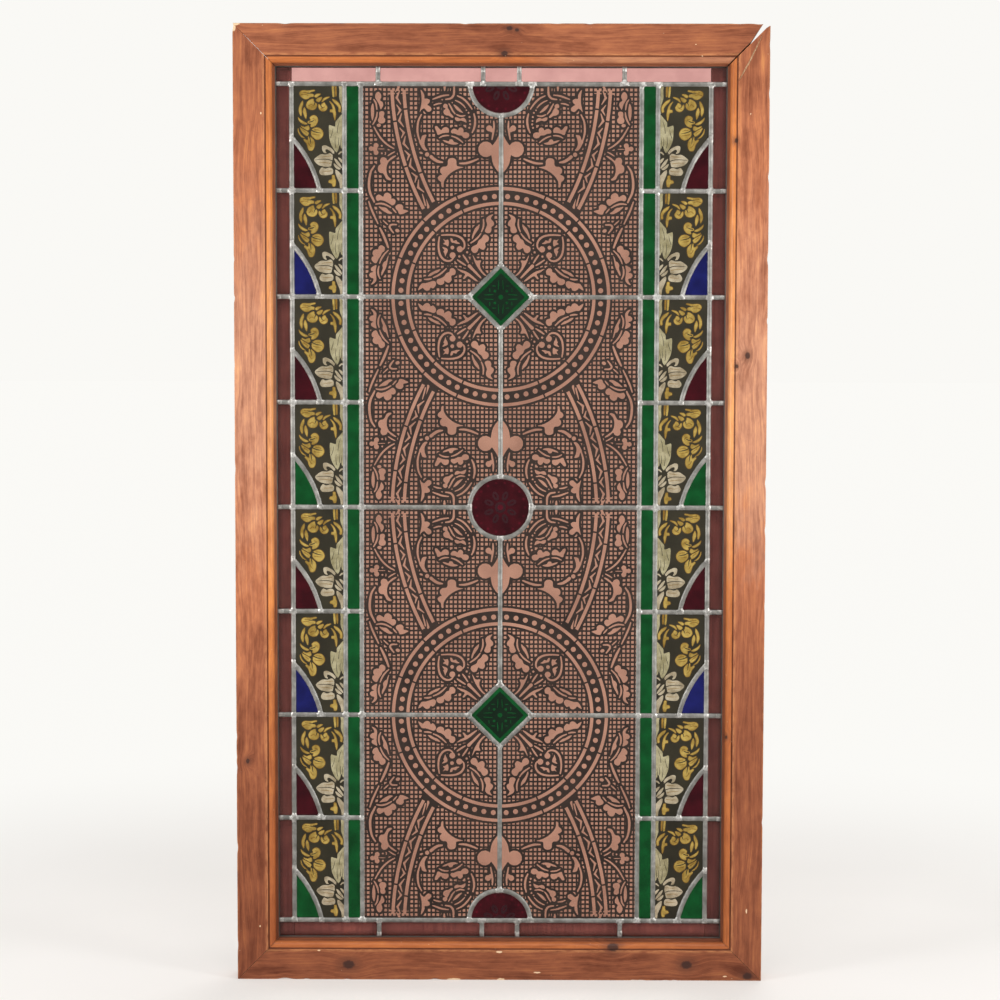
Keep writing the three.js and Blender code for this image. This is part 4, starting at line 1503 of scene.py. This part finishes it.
def field_outline():
    """A big pane, out from the middle line and from the roundel's line to the diamond's."""
    round_corner = roundel_radius + glass_inset
    reach = diamond_reach + glass_inset * (math.sqrt(2) - 1)
    turn = math.asin(glass_inset / round_corner)
    outline = arc((0, 0), round_corner, turn, math.pi / 2 - turn, 10)
    outline += [Vector((glass_inset, tier_height - reach)),
                Vector((reach, tier_height - glass_inset)),
                Vector((field_line - glass_inset, tier_height - glass_inset)),
                Vector((field_line - glass_inset, glass_inset))]
    return [p[:] for p in outline]


def build_field_panes():
    flowers = outer_flowers() + middle_flowers() + ring_flowers()
    layers = ground_squares()
    layers += [(PAINT, shape(HALO)) for shape in flowers]
    layers += strap_band() + big_ring()
    layers += [(CLEAR, shape(0.0)) for shape in flowers]
    on_pane = [(kind, [from_sheet(x, y) for x, y in shape]) for kind, shape in layers]
    painted = paint_by_areas(field_outline(), on_pane, PAINT)
    for tier in range(tiers):
        round_above = tier % 2 == 0
        top = field_top - tier * tier_height
        z = top if round_above else top - tier_height
        down = -1 if round_above else 1
        for side, word in ((-1, "left"), (1, "right")):
            def to_window(u, v, side=side, z=z, down=down):
                return (side * u, z + down * v)
            piece = pane_solid(f"stencilled_glass_{word}_{tier + 1}", painted,
                               [STENCIL_PAINT, STENCIL_GLASS], CLEAR, to_window)
            settle(piece, "stencilled_glass", f"{word}_field_pane_{tier + 1}")


# ---- painted quarries --------------------------------------------------------------------------

# Drawn in the same way, inward from the outer lead line and down from the row's upper line, on
# a sheet whose corner is here.
QUARRY_LEFT = 70.0
QUARRY_TOP = 72.8
GROUND, GOLDEN, AMBER_EDGE, PALE, LEAFY = range(5)


def quarry_layers():
    """A spray of gold blossoms, a pale leaf and half a pale daisy on a dark ground."""
    layers = []

    def petals(kind, *shapes, edge=0.9):
        for shape in shapes:
            layers.append((GROUND, shape(edge)))
            layers.append((kind, shape(0.0)))

    def golden(*shapes):
        """Gold with a deeper rim."""
        for shape in shapes:
            layers.append((GROUND, shape(0.8)))
            layers.append((AMBER_EDGE, shape(0.15)))
            layers.append((GOLDEN, shape(-0.55)))

    def veins(kind, width, *lines):
        for line in lines:
            layers.append((kind, stroke((width, 0.8 * width, 0.3 * width), *line)(0)))

    # the stems that run down beside the green strip
    petals(AMBER_EDGE, stroke((2.2, 2.6, 2.0), (123.7, 72), (124, 80), (124.2, 87.5)), edge=0.5)
    petals(GOLDEN, stroke((2.4, 2.6, 2.2), (120.4, 72), (120.6, 80), (121.3, 88)), edge=0.5)
    petals(LEAFY, blot((127.6, 70), (128.4, 80), (128.2, 90), (130.8, 98), (131.4, 104),
                       (131.2, 109), (136, 109), (136, 70)))
    # the blossom at the top
    golden(
        blot((80, 83), (82.4, 81), (86, 80.6), (91, 80.9), (97.8, 79.9), (98.4, 81.8), (93, 83.4),
             (97, 85.6), (97.4, 88.4), (93, 89.2), (90.6, 91), (86.4, 91.6), (82, 89), (79.8, 86)),
        blot((97.8, 87.6), (101, 85), (105.9, 85), (103.4, 87.6), (100, 89.6)),
        blot((99.9, 92.2), (102.6, 89.8), (107.3, 88.8), (106.6, 92.2), (103.6, 95), (101.2, 94.4)),
        blot((96.6, 90.8), (92, 92.3), (88.8, 95.4), (87.8, 99.5), (89.8, 102.9), (94, 104.6),
             (98.6, 103.8), (101.3, 100), (100.8, 96.4), (97.6, 94.2)),
        blot((103.2, 97.2), (105.6, 98.6), (107.6, 96.4), (110.3, 95.4), (112, 98), (113.9, 101),
             (112.4, 104.8), (108.5, 106.4), (104.8, 104.8), (102.7, 101)),
        stroke((1.6, 2.8, 1.2), (107.6, 94.2), (110.6, 91), (116, 88.8)))
    veins(AMBER_EDGE, 1.3, [(81.5, 86.5), (86, 85.5), (91, 87)], [(84, 83), (88, 83.4), (92, 82.4)])
    veins(GROUND, 1.2, [(98, 84.3), (92, 84.2), (88.5, 84.6)], [(99.4, 94.4), (98, 97), (97.4, 99.4)],
          [(105.6, 97.8), (106.8, 101), (110.5, 101.6)])
    veins(AMBER_EDGE, 1.4, [(91, 99.5), (94, 97.6), (97, 99.5)], [(106, 103), (109, 102), (111, 99.5)])
    # the leaves that hang on both sides
    golden(
        blot((84, 93.2), (81, 96.6), (79.1, 101.8), (79.1, 107.2), (81.7, 112), (82.8, 108),
             (82.7, 103), (84.3, 98)),
        blot((85.7, 101), (84, 105), (84.7, 109.8), (87.6, 115.4), (88.7, 110.4), (88, 105.2)),
        blot((116.2, 93.8), (119.6, 96), (122.4, 100.2), (123.9, 105.8), (124.3, 111),
             (123, 117.4), (121.3, 112.4), (120.2, 107.8), (117, 107), (117.2, 103.8),
             (120, 103.2), (119, 98.8)),
        blot((119.8, 91), (124.6, 92.9), (128.4, 96.6), (130.7, 101.4), (130, 107), (127.3, 106.2),
             (127.4, 102), (124.6, 98), (121.2, 94.8)),
        blot((78, 113), (81, 115.8), (85, 118.4), (89.6, 121), (86.5, 122.2), (82, 120.4), (78.8, 117)))
    # the blossom in the middle
    golden(
        blot((94.5, 111.4), (98.2, 110.7), (101.6, 113.2), (102.4, 118), (100, 122.8),
             (95.5, 125.2), (93, 124.4), (93.6, 121.6), (90, 120.4), (90.2, 118), (93, 117), (92.2, 114)),
        blot((94.6, 128.2), (98, 126), (102, 125.5), (105.8, 127), (108.7, 131.4), (108.3, 135.8),
             (105.2, 139.4), (101, 140.6), (96.8, 138.2), (94, 135), (93.6, 131.6)),
        blot((90.4, 136.2), (94, 137.6), (97.3, 141), (98.4, 145), (97.8, 149.8), (95.4, 153.4),
             (91.4, 153.4), (89.5, 150), (88, 145.2), (84.6, 141), (86, 139.2), (89.6, 141)),
        blot((81.6, 123.2), (86, 124.8), (90.8, 123.2), (92, 127.6), (89, 129.3), (85.4, 127.4),
             (82.2, 125.6)),
        blot((80.2, 125.2), (84, 127.3), (88.6, 129.8), (91.4, 132.8), (89.6, 136), (86.4, 134.9),
             (83.3, 131.8), (81.2, 128.6)),
        blot((78.1, 126.6), (79.6, 131), (82.2, 135), (86.5, 138.6), (82.4, 137.4), (79.2, 133.7),
             (77.7, 130)))
    veins(GROUND, 1.4, [(93.5, 128.5), (99, 131), (106, 132.4)], [(91, 134.4), (92.6, 139), (93.4, 145)],
          [(91.4, 119.2), (95, 118.4), (98, 116.6)])
    veins(AMBER_EDGE, 1.2, [(96, 133.6), (100, 134.4), (104.6, 134.6)],
          [(98, 128.4), (102, 128.6), (105, 130)],
          [(96, 115), (98.6, 115.6), (99.6, 118.4)], [(90.6, 144.6), (92.6, 148), (94.8, 149)],
          [(84, 129.2), (87, 131.4), (89, 133)])
    # the broad pale leaf
    petals(LEAFY, blot((115.8, 123), (119.6, 123.6), (123.2, 124.2), (123.6, 119), (127, 114.8),
                       (132, 109), (137, 107), (137, 152), (131, 151), (128.4, 147), (127, 152.4),
                       (124.4, 155.6), (121.4, 151.8), (118.3, 146), (116.4, 140), (115.6, 131)))
    veins(GROUND, 0.7, [(129.4, 152), (130, 144), (130.6, 137)], [(127.6, 147), (127.4, 142), (127.8, 137)],
          [(117.6, 138), (119.6, 132), (120.4, 127)], [(124, 150), (123, 143), (123.4, 136)],
          [(125.6, 132), (126.6, 124), (129, 117)])
    # half a daisy
    petals(
        PALE,
        blot((107.4, 148.2), (111, 147.1), (115.2, 148.8), (119.3, 151.3), (122.4, 155.5),
             (121.6, 158), (118, 154.8), (114.5, 152.3), (111.8, 152), (111.2, 154), (112.6, 156.6),
             (109.4, 156), (107.4, 152.6)),
        blot((97.4, 164.4), (101, 160.8), (106, 158), (112, 158.2), (117, 156.6), (120.2, 159.5),
             (119.8, 165), (118.8, 169), (117.6, 173), (112.4, 174), (107.8, 172.4),
             (103.3, 171.2), (99.2, 168)),
        blot((104.3, 177), (107, 173.8), (111, 175.4), (116, 173.9), (120.2, 176), (120.2, 181.3),
             (116, 182.9), (110, 183.4), (105.8, 182.8), (103.7, 180)),
        blot((122, 163), (125.3, 164.8), (129.3, 169.8), (131.4, 174.4), (128.4, 173.9),
             (124.3, 168.8)),
        blot((121.4, 169), (125, 171.2), (129.8, 175.6), (126.4, 176.2), (122.4, 172.9)),
        blot((126.8, 162), (130.2, 163.2), (134.5, 168), (134.5, 171), (129.4, 166.8)),
        blot((123.6, 176.6), (127.2, 178.6), (131.3, 183), (137, 187), (137, 203), (130, 203),
             (128.3, 193.4), (125.8, 187.2), (123.6, 181.3)),
        stroke(2.0, (127.6, 157.6), (130, 155.4), (133.4, 154.8)),
        edge=0.8)
    veins(GROUND, 1.1, [(121, 166.3), (114, 164.2), (106, 164), (98.5, 164.8)],
          [(120.4, 161), (121.8, 157), (124.4, 154)], [(121.6, 163), (124.6, 158.6), (129, 152)],
          [(121, 172), (115, 173.6), (109, 173)])
    veins(AMBER_EDGE, 0.7, [(118, 160), (112, 160.6), (106, 161.4)], [(117.4, 169), (110, 168), (103, 168)],
          [(118.6, 178), (112, 178.6), (107, 178.4)])
    # the gold trefoil at the foot
    golden(blot((119.2, 183.2), (122.3, 183.6), (122.9, 187), (124, 190), (123.3, 196.4),
                (120, 197), (118.8, 193.8), (115, 192.2), (115.6, 189.2), (118.8, 188)))
    return [(kind, [(x - QUARRY_LEFT, y - QUARRY_TOP) for x, y in shape]) for kind, shape in layers]


def quarry_outline():
    """In from the outer lead line and down from the row's upper line."""
    width = side_line - strip_line
    bow = [(p.x, row_height - p.y) for p in bow_points(glass_inset, glass_inset)]
    return bow + [(width - glass_inset, row_height - glass_inset),
                  (width - glass_inset, glass_inset), (glass_inset, glass_inset)]


def corner_outline():
    bow = [(p.x, row_height - p.y) for p in bow_points(-glass_inset, glass_inset)]
    return [(glass_inset, row_height - glass_inset)] + bow[::-1]


def plain_pane(name, outline, material, to_window, slot, node):
    """Unpainted rolled glass: its faces ripple a little."""
    pitch = 7.0
    low, high = np.min(outline, 0), np.max(outline, 0)
    corners = []
    count = len(outline)
    for (x1, y1), (x2, y2) in zip(outline, outline[1:] + outline[:1]):
        steps = max(1, round(math.hypot(x2 - x1, y2 - y1) / pitch))
        corners += [(x1 + (x2 - x1) * i / steps, y1 + (y2 - y1) * i / steps) for i in range(steps)]
    edges = [(i, (i + 1) % len(corners)) for i in range(len(corners))]
    across = max(2, round((high[0] - low[0]) / pitch))
    down = max(2, round((high[1] - low[1]) / pitch))
    middle = []
    for i in range(1, across):
        for j in range(1, down):
            middle.append((low[0] + (high[0] - low[0]) * i / across,
                           low[1] + (high[1] - low[1]) * j / down))
    vertices, _, triangles = triangulate(corners + middle, edges)
    keep = inside(vertices[triangles].mean(1), outline)
    painted = (vertices, triangles[keep], np.zeros(int(keep.sum()), int))
    piece = pane_solid(name, painted, [material], 0, to_window, ripple=0.16)
    settle(piece, slot, node)


def build_side_panes():
    painted = paint_by_areas(quarry_outline(), quarry_layers(), GROUND)
    corner_glass = [("ruby", RUBY), ("blue", BLUE), ("ruby", RUBY), ("green", GREEN)]
    for row in range(rows):
        top = field_top - row * row_height
        colour, material = corner_glass[row % len(corner_glass)]
        for side, word in ((-1, "left"), (1, "right")):
            def to_window(p, q, side=side, top=top):
                return (side * (side_line - p), top - q)
            piece = pane_solid(f"painted_glass_{word}_{row + 1}", painted,
                               [FLOWER_GROUND, GOLD, AMBER, CREAM, LEAF], PALE, to_window)
            settle(piece, "painted_glass", f"{word}_quarry_{row + 1}")
            plain_pane(f"{colour}_glass_{word}_{row + 1}", corner_outline(), material, to_window,
                       f"{colour}_glass", f"{word}_corner_{row + 1}")


def rectangle(left, bottom, right, top):
    return [(left, bottom), (right, bottom), (right, top), (left, top)]


def build_strips():
    """The green strips beside the quarries, and the pale strips round the border."""
    def as_drawn(x, z):
        return (x, z)

    for row in range(rows):
        high = field_top - row * row_height - glass_inset
        low = high - row_height + 2 * glass_inset
        for side, word in ((-1, "left"), (1, "right")):
            def to_window(x, z, side=side):
                return (side * x, z)
            plain_pane(f"green_strip_{word}_{row + 1}",
                       rectangle(field_line + glass_inset, low, strip_line - glass_inset, high),
                       GREEN, to_window, "green_glass", f"{word}_green_strip")
            plain_pane(f"pink_strip_{word}_{row + 1}",
                       rectangle(side_line + glass_inset, low, border_edge, high),
                       PINK, to_window, "pink_glass", f"{word}_border_strip")
    stops = [-border_edge - glass_inset]
    stops += [-short_cames[1], -short_cames[0], short_cames[0], short_cames[1]]
    stops.append(border_edge + glass_inset)
    for place in ("top", "bottom"):
        low, high = box(f"{place}_border_strip")
        for i, (left, right) in enumerate(zip(stops, stops[1:])):
            plain_pane(f"pink_strip_{place}_{i + 1}",
                       rectangle(left + glass_inset, low.z, right - glass_inset, high.z),
                       PINK, as_drawn, "pink_glass", f"{place}_border_strip")


# ---- jewels ------------------------------------------------------------------------------------

DEEP, BRIGHT, MATT = range(3)


def diamond_layers():
    """A bright band inside the edge, and a four-petalled flower on a matt field."""
    reach = diamond_reach - glass_inset * math.sqrt(2)
    inner = reach - 8.5
    layers = [(MATT, [(inner, 0), (0, inner), (-inner, 0), (0, -inner)])]
    for turn in range(4):
        angle = math.radians(90 * turn)

        def put(shape, angle=angle):
            return [(x * math.cos(angle) - y * math.sin(angle),
                     x * math.sin(angle) + y * math.cos(angle)) for x, y in shape]

        for across in (-3, 3):
            layers.append((DEEP, put(stroke(1.3, (across, 9.5), (across * 0.8, 20))(0))))
            layers.append((DEEP, put(stroke(1.2, (across * 2.1, 13.5), (across * 3.4, 13.5))(0))))
        layers.append((DEEP, put(dot(7.2, 7.2, 1.7)(0))))
    layers.append((DEEP, dot(0, 0, 3)(0)))
    layers.append((BRIGHT, dot(0, 0, 1.5)(0)))
    return layers


def roundel_layers():
    """A ring of bright spots round the rim, and a rosette about a small centre."""
    layers = []
    spots = 18
    for k in range(spots):
        angle = 2 * math.pi * k / spots
        radius = roundel_radius - 7.5
        layers.append((BRIGHT, dot(radius * math.cos(angle), radius * math.sin(angle), 1.6)(0)))
    petals = 8
    for k in range(petals):
        angle = 2 * math.pi * (k + 0.5) / petals
        layers.append((MATT, dot(15 * math.cos(angle), 15 * math.sin(angle), 6.2, 3.6,
                                 math.degrees(angle))(0)))
        layers.append((DEEP, dot(15.5 * math.cos(angle), 15.5 * math.sin(angle), 3, 1.2,
                                 math.degrees(angle))(0)))
    layers.append((MATT, dot(0, 0, 7)(0)))
    layers.append((BRIGHT, dot(0, 0, 3.6)(0)))
    return layers


def build_jewels():
    glasses = {"ruby": [RUBY, RUBY_LIGHT, RUBY_PAINT], "green": [GREEN, GREEN, GREEN_PAINT]}
    round_radius = roundel_radius - glass_inset
    turn = math.asin(glass_inset / round_radius)
    circle = [p[:] for p in arc((0, 0), round_radius, 0, 2 * math.pi, 48)[:-1]]
    half = [p[:] for p in arc((0, 0), round_radius, turn, math.pi - turn, 26)]
    lower_half = [(x, -y) for x, y in half]
    reach = diamond_reach - glass_inset * math.sqrt(2)
    diamond = [(reach, 0), (0, reach), (-reach, 0), (0, -reach)]
    jewels = [
        ("upper_half_roundel", lower_half, roundel_layers(), "ruby"),
        ("upper_diamond", diamond, diamond_layers(), "green"),
        ("roundel", circle, roundel_layers(), "ruby"),
        ("lower_diamond", diamond, diamond_layers(), "green"),
        ("lower_half_roundel", half, roundel_layers(), "ruby"),
    ]
    for line, (node, outline, layers, colour) in enumerate(jewels):
        z = field_top - line * tier_height

        def to_window(x, y, z=z):
            return (x, z + y)
        painted = paint_by_areas(outline, layers, DEEP)
        piece = pane_solid(f"{colour}_glass_{node}", painted, glasses[colour], DEEP, to_window)
        settle(piece, f"{colour}_glass", node)


# ---- surroundings ------------------------------------------------------------------------------

SEEN = (0.955, 0.946, 0.915)                       # the backdrop as the camera sees it


def build_floor():
    """Pale ground under the window, which fades into the backdrop away from it."""
    finish = Finish("pale_floor", 0.8, Specular_IOR_Level=0.1, Emission_Strength=1.0)
    place = finish.place()
    metres_away = finish.vector("LENGTH", finish.scaled(place, (MM, MM, 0.0)))
    cloud = finish.noise(place, 0.002, 2.0)
    ground = finish.ramp(cloud, (0.3, (0.56, 0.545, 0.525)), (0.7, (0.60, 0.585, 0.565)))
    pale_share = finish.spread(metres_away, 0.5, 1.6)
    finish.paint(finish.mix(pale_share, ground, (0.0, 0.0, 0.0)))
    finish.feed(finish.shader.inputs["Emission Color"],
                finish.mix(pale_share, (0.34, 0.325, 0.31), SEEN))
    half = 30000.0
    floor = make_object(
        "floor", [(-half, -half, 0), (half, -half, 0), (half, half, 0), (-half, half, 0)],
        [(0, 1, 2, 3)], [finish.material])
    floor.visible_glossy = False


def build_world():
    """A pale surround. What the glass mirrors is dimmer than what shows through it."""
    world = bpy.data.worlds.new("studio")
    bpy.context.scene.world = world
    world.use_nodes = True
    tree = world.node_tree
    tree.nodes.clear()
    path = tree.nodes.new("ShaderNodeLightPath")
    output = tree.nodes.new("ShaderNodeOutputWorld")

    def background(colour, strength):
        made = tree.nodes.new("ShaderNodeBackground")
        made.inputs["Color"].default_value = (*colour, 1)
        made.inputs["Strength"].default_value = strength
        return made.outputs[0]

    def blend(share, first, second):
        made = tree.nodes.new("ShaderNodeMixShader")
        for socket, value in zip(made.inputs, (share, first, second)):
            tree.links.new(value, socket)
        return made.outputs[0]

    white = (1, 1, 1)
    lighting, mirrored, seen = background(white, 0.5), background(white, 0.14), background(SEEN, 1.0)
    surround = blend(path.outputs["Is Glossy Ray"], lighting, mirrored)
    direct = tree.nodes.new("ShaderNodeMath")
    direct.operation = "MAXIMUM"
    tree.links.new(path.outputs["Is Camera Ray"], direct.inputs[0])
    tree.links.new(path.outputs["Is Transmission Ray"], direct.inputs[1])
    tree.links.new(blend(direct.outputs[0], surround, seen), output.inputs["Surface"])


def add_softbox(name, place, target, width, height, power):
    light = bpy.data.lights.new(name, "AREA")
    light.shape = "RECTANGLE"
    light.size = width
    light.size_y = height
    light.energy = power
    lamp = bpy.data.objects.new(name, light)
    lamp.location = place
    lamp.rotation_euler = (Vector(target) - Vector(place)).to_track_quat("-Z", "Y").to_euler()
    bpy.context.scene.collection.objects.link(lamp)


def build_lights():
    """Soft lights at both sides, above and behind, in metres and watts."""
    for side, word in ((-1, "left"), (1, "right")):
        add_softbox(f"{word}_softbox", (side * 1.35, -1.0, 0.75), (side * 0.1, 0, 0.68),
                    0.45, 0.8, 12)
    add_softbox("top_softbox", (0.0, -1.6, 2.6), (0, 0, 0.6), 1.4, 0.8, 14)
    add_softbox("back_softbox", (0.6, 2.2, 2.2), (0, 0, 0.6), 1.6, 1.0, 24)


def build_camera():
    """In metres, in front of the window and a little above its middle."""
    data = bpy.data.cameras.new("camera")
    data.lens = 87.8
    data.sensor_width = 36.0
    camera = bpy.data.objects.new("camera", data)
    camera.location = (0.0167, -3.0, 0.816)
    tilt_down = math.radians(4.188)
    turn_left = math.radians(0.328)
    lean = math.radians(0.121)
    rotation = (Matrix.Rotation(turn_left, 4, "Z") @ Matrix.Rotation(math.pi / 2 - tilt_down, 4, "X")
                @ Matrix.Rotation(lean, 4, "Z"))
    camera.rotation_euler = rotation.to_euler()
    bpy.context.scene.collection.objects.link(camera)
    bpy.context.scene.camera = camera


build_camera()
build_frame()
for word in ("left", "right", "top", "bottom"):
    make_bead(f"pine_{word}_bead", f"{word}_bead", word in ("left", "right"))
build_lead()
build_field_panes()
build_side_panes()
build_strips()
build_jewels()
build_floor()
build_world()
build_lights()
bpy.context.scene.view_settings.view_transform = "Standard"
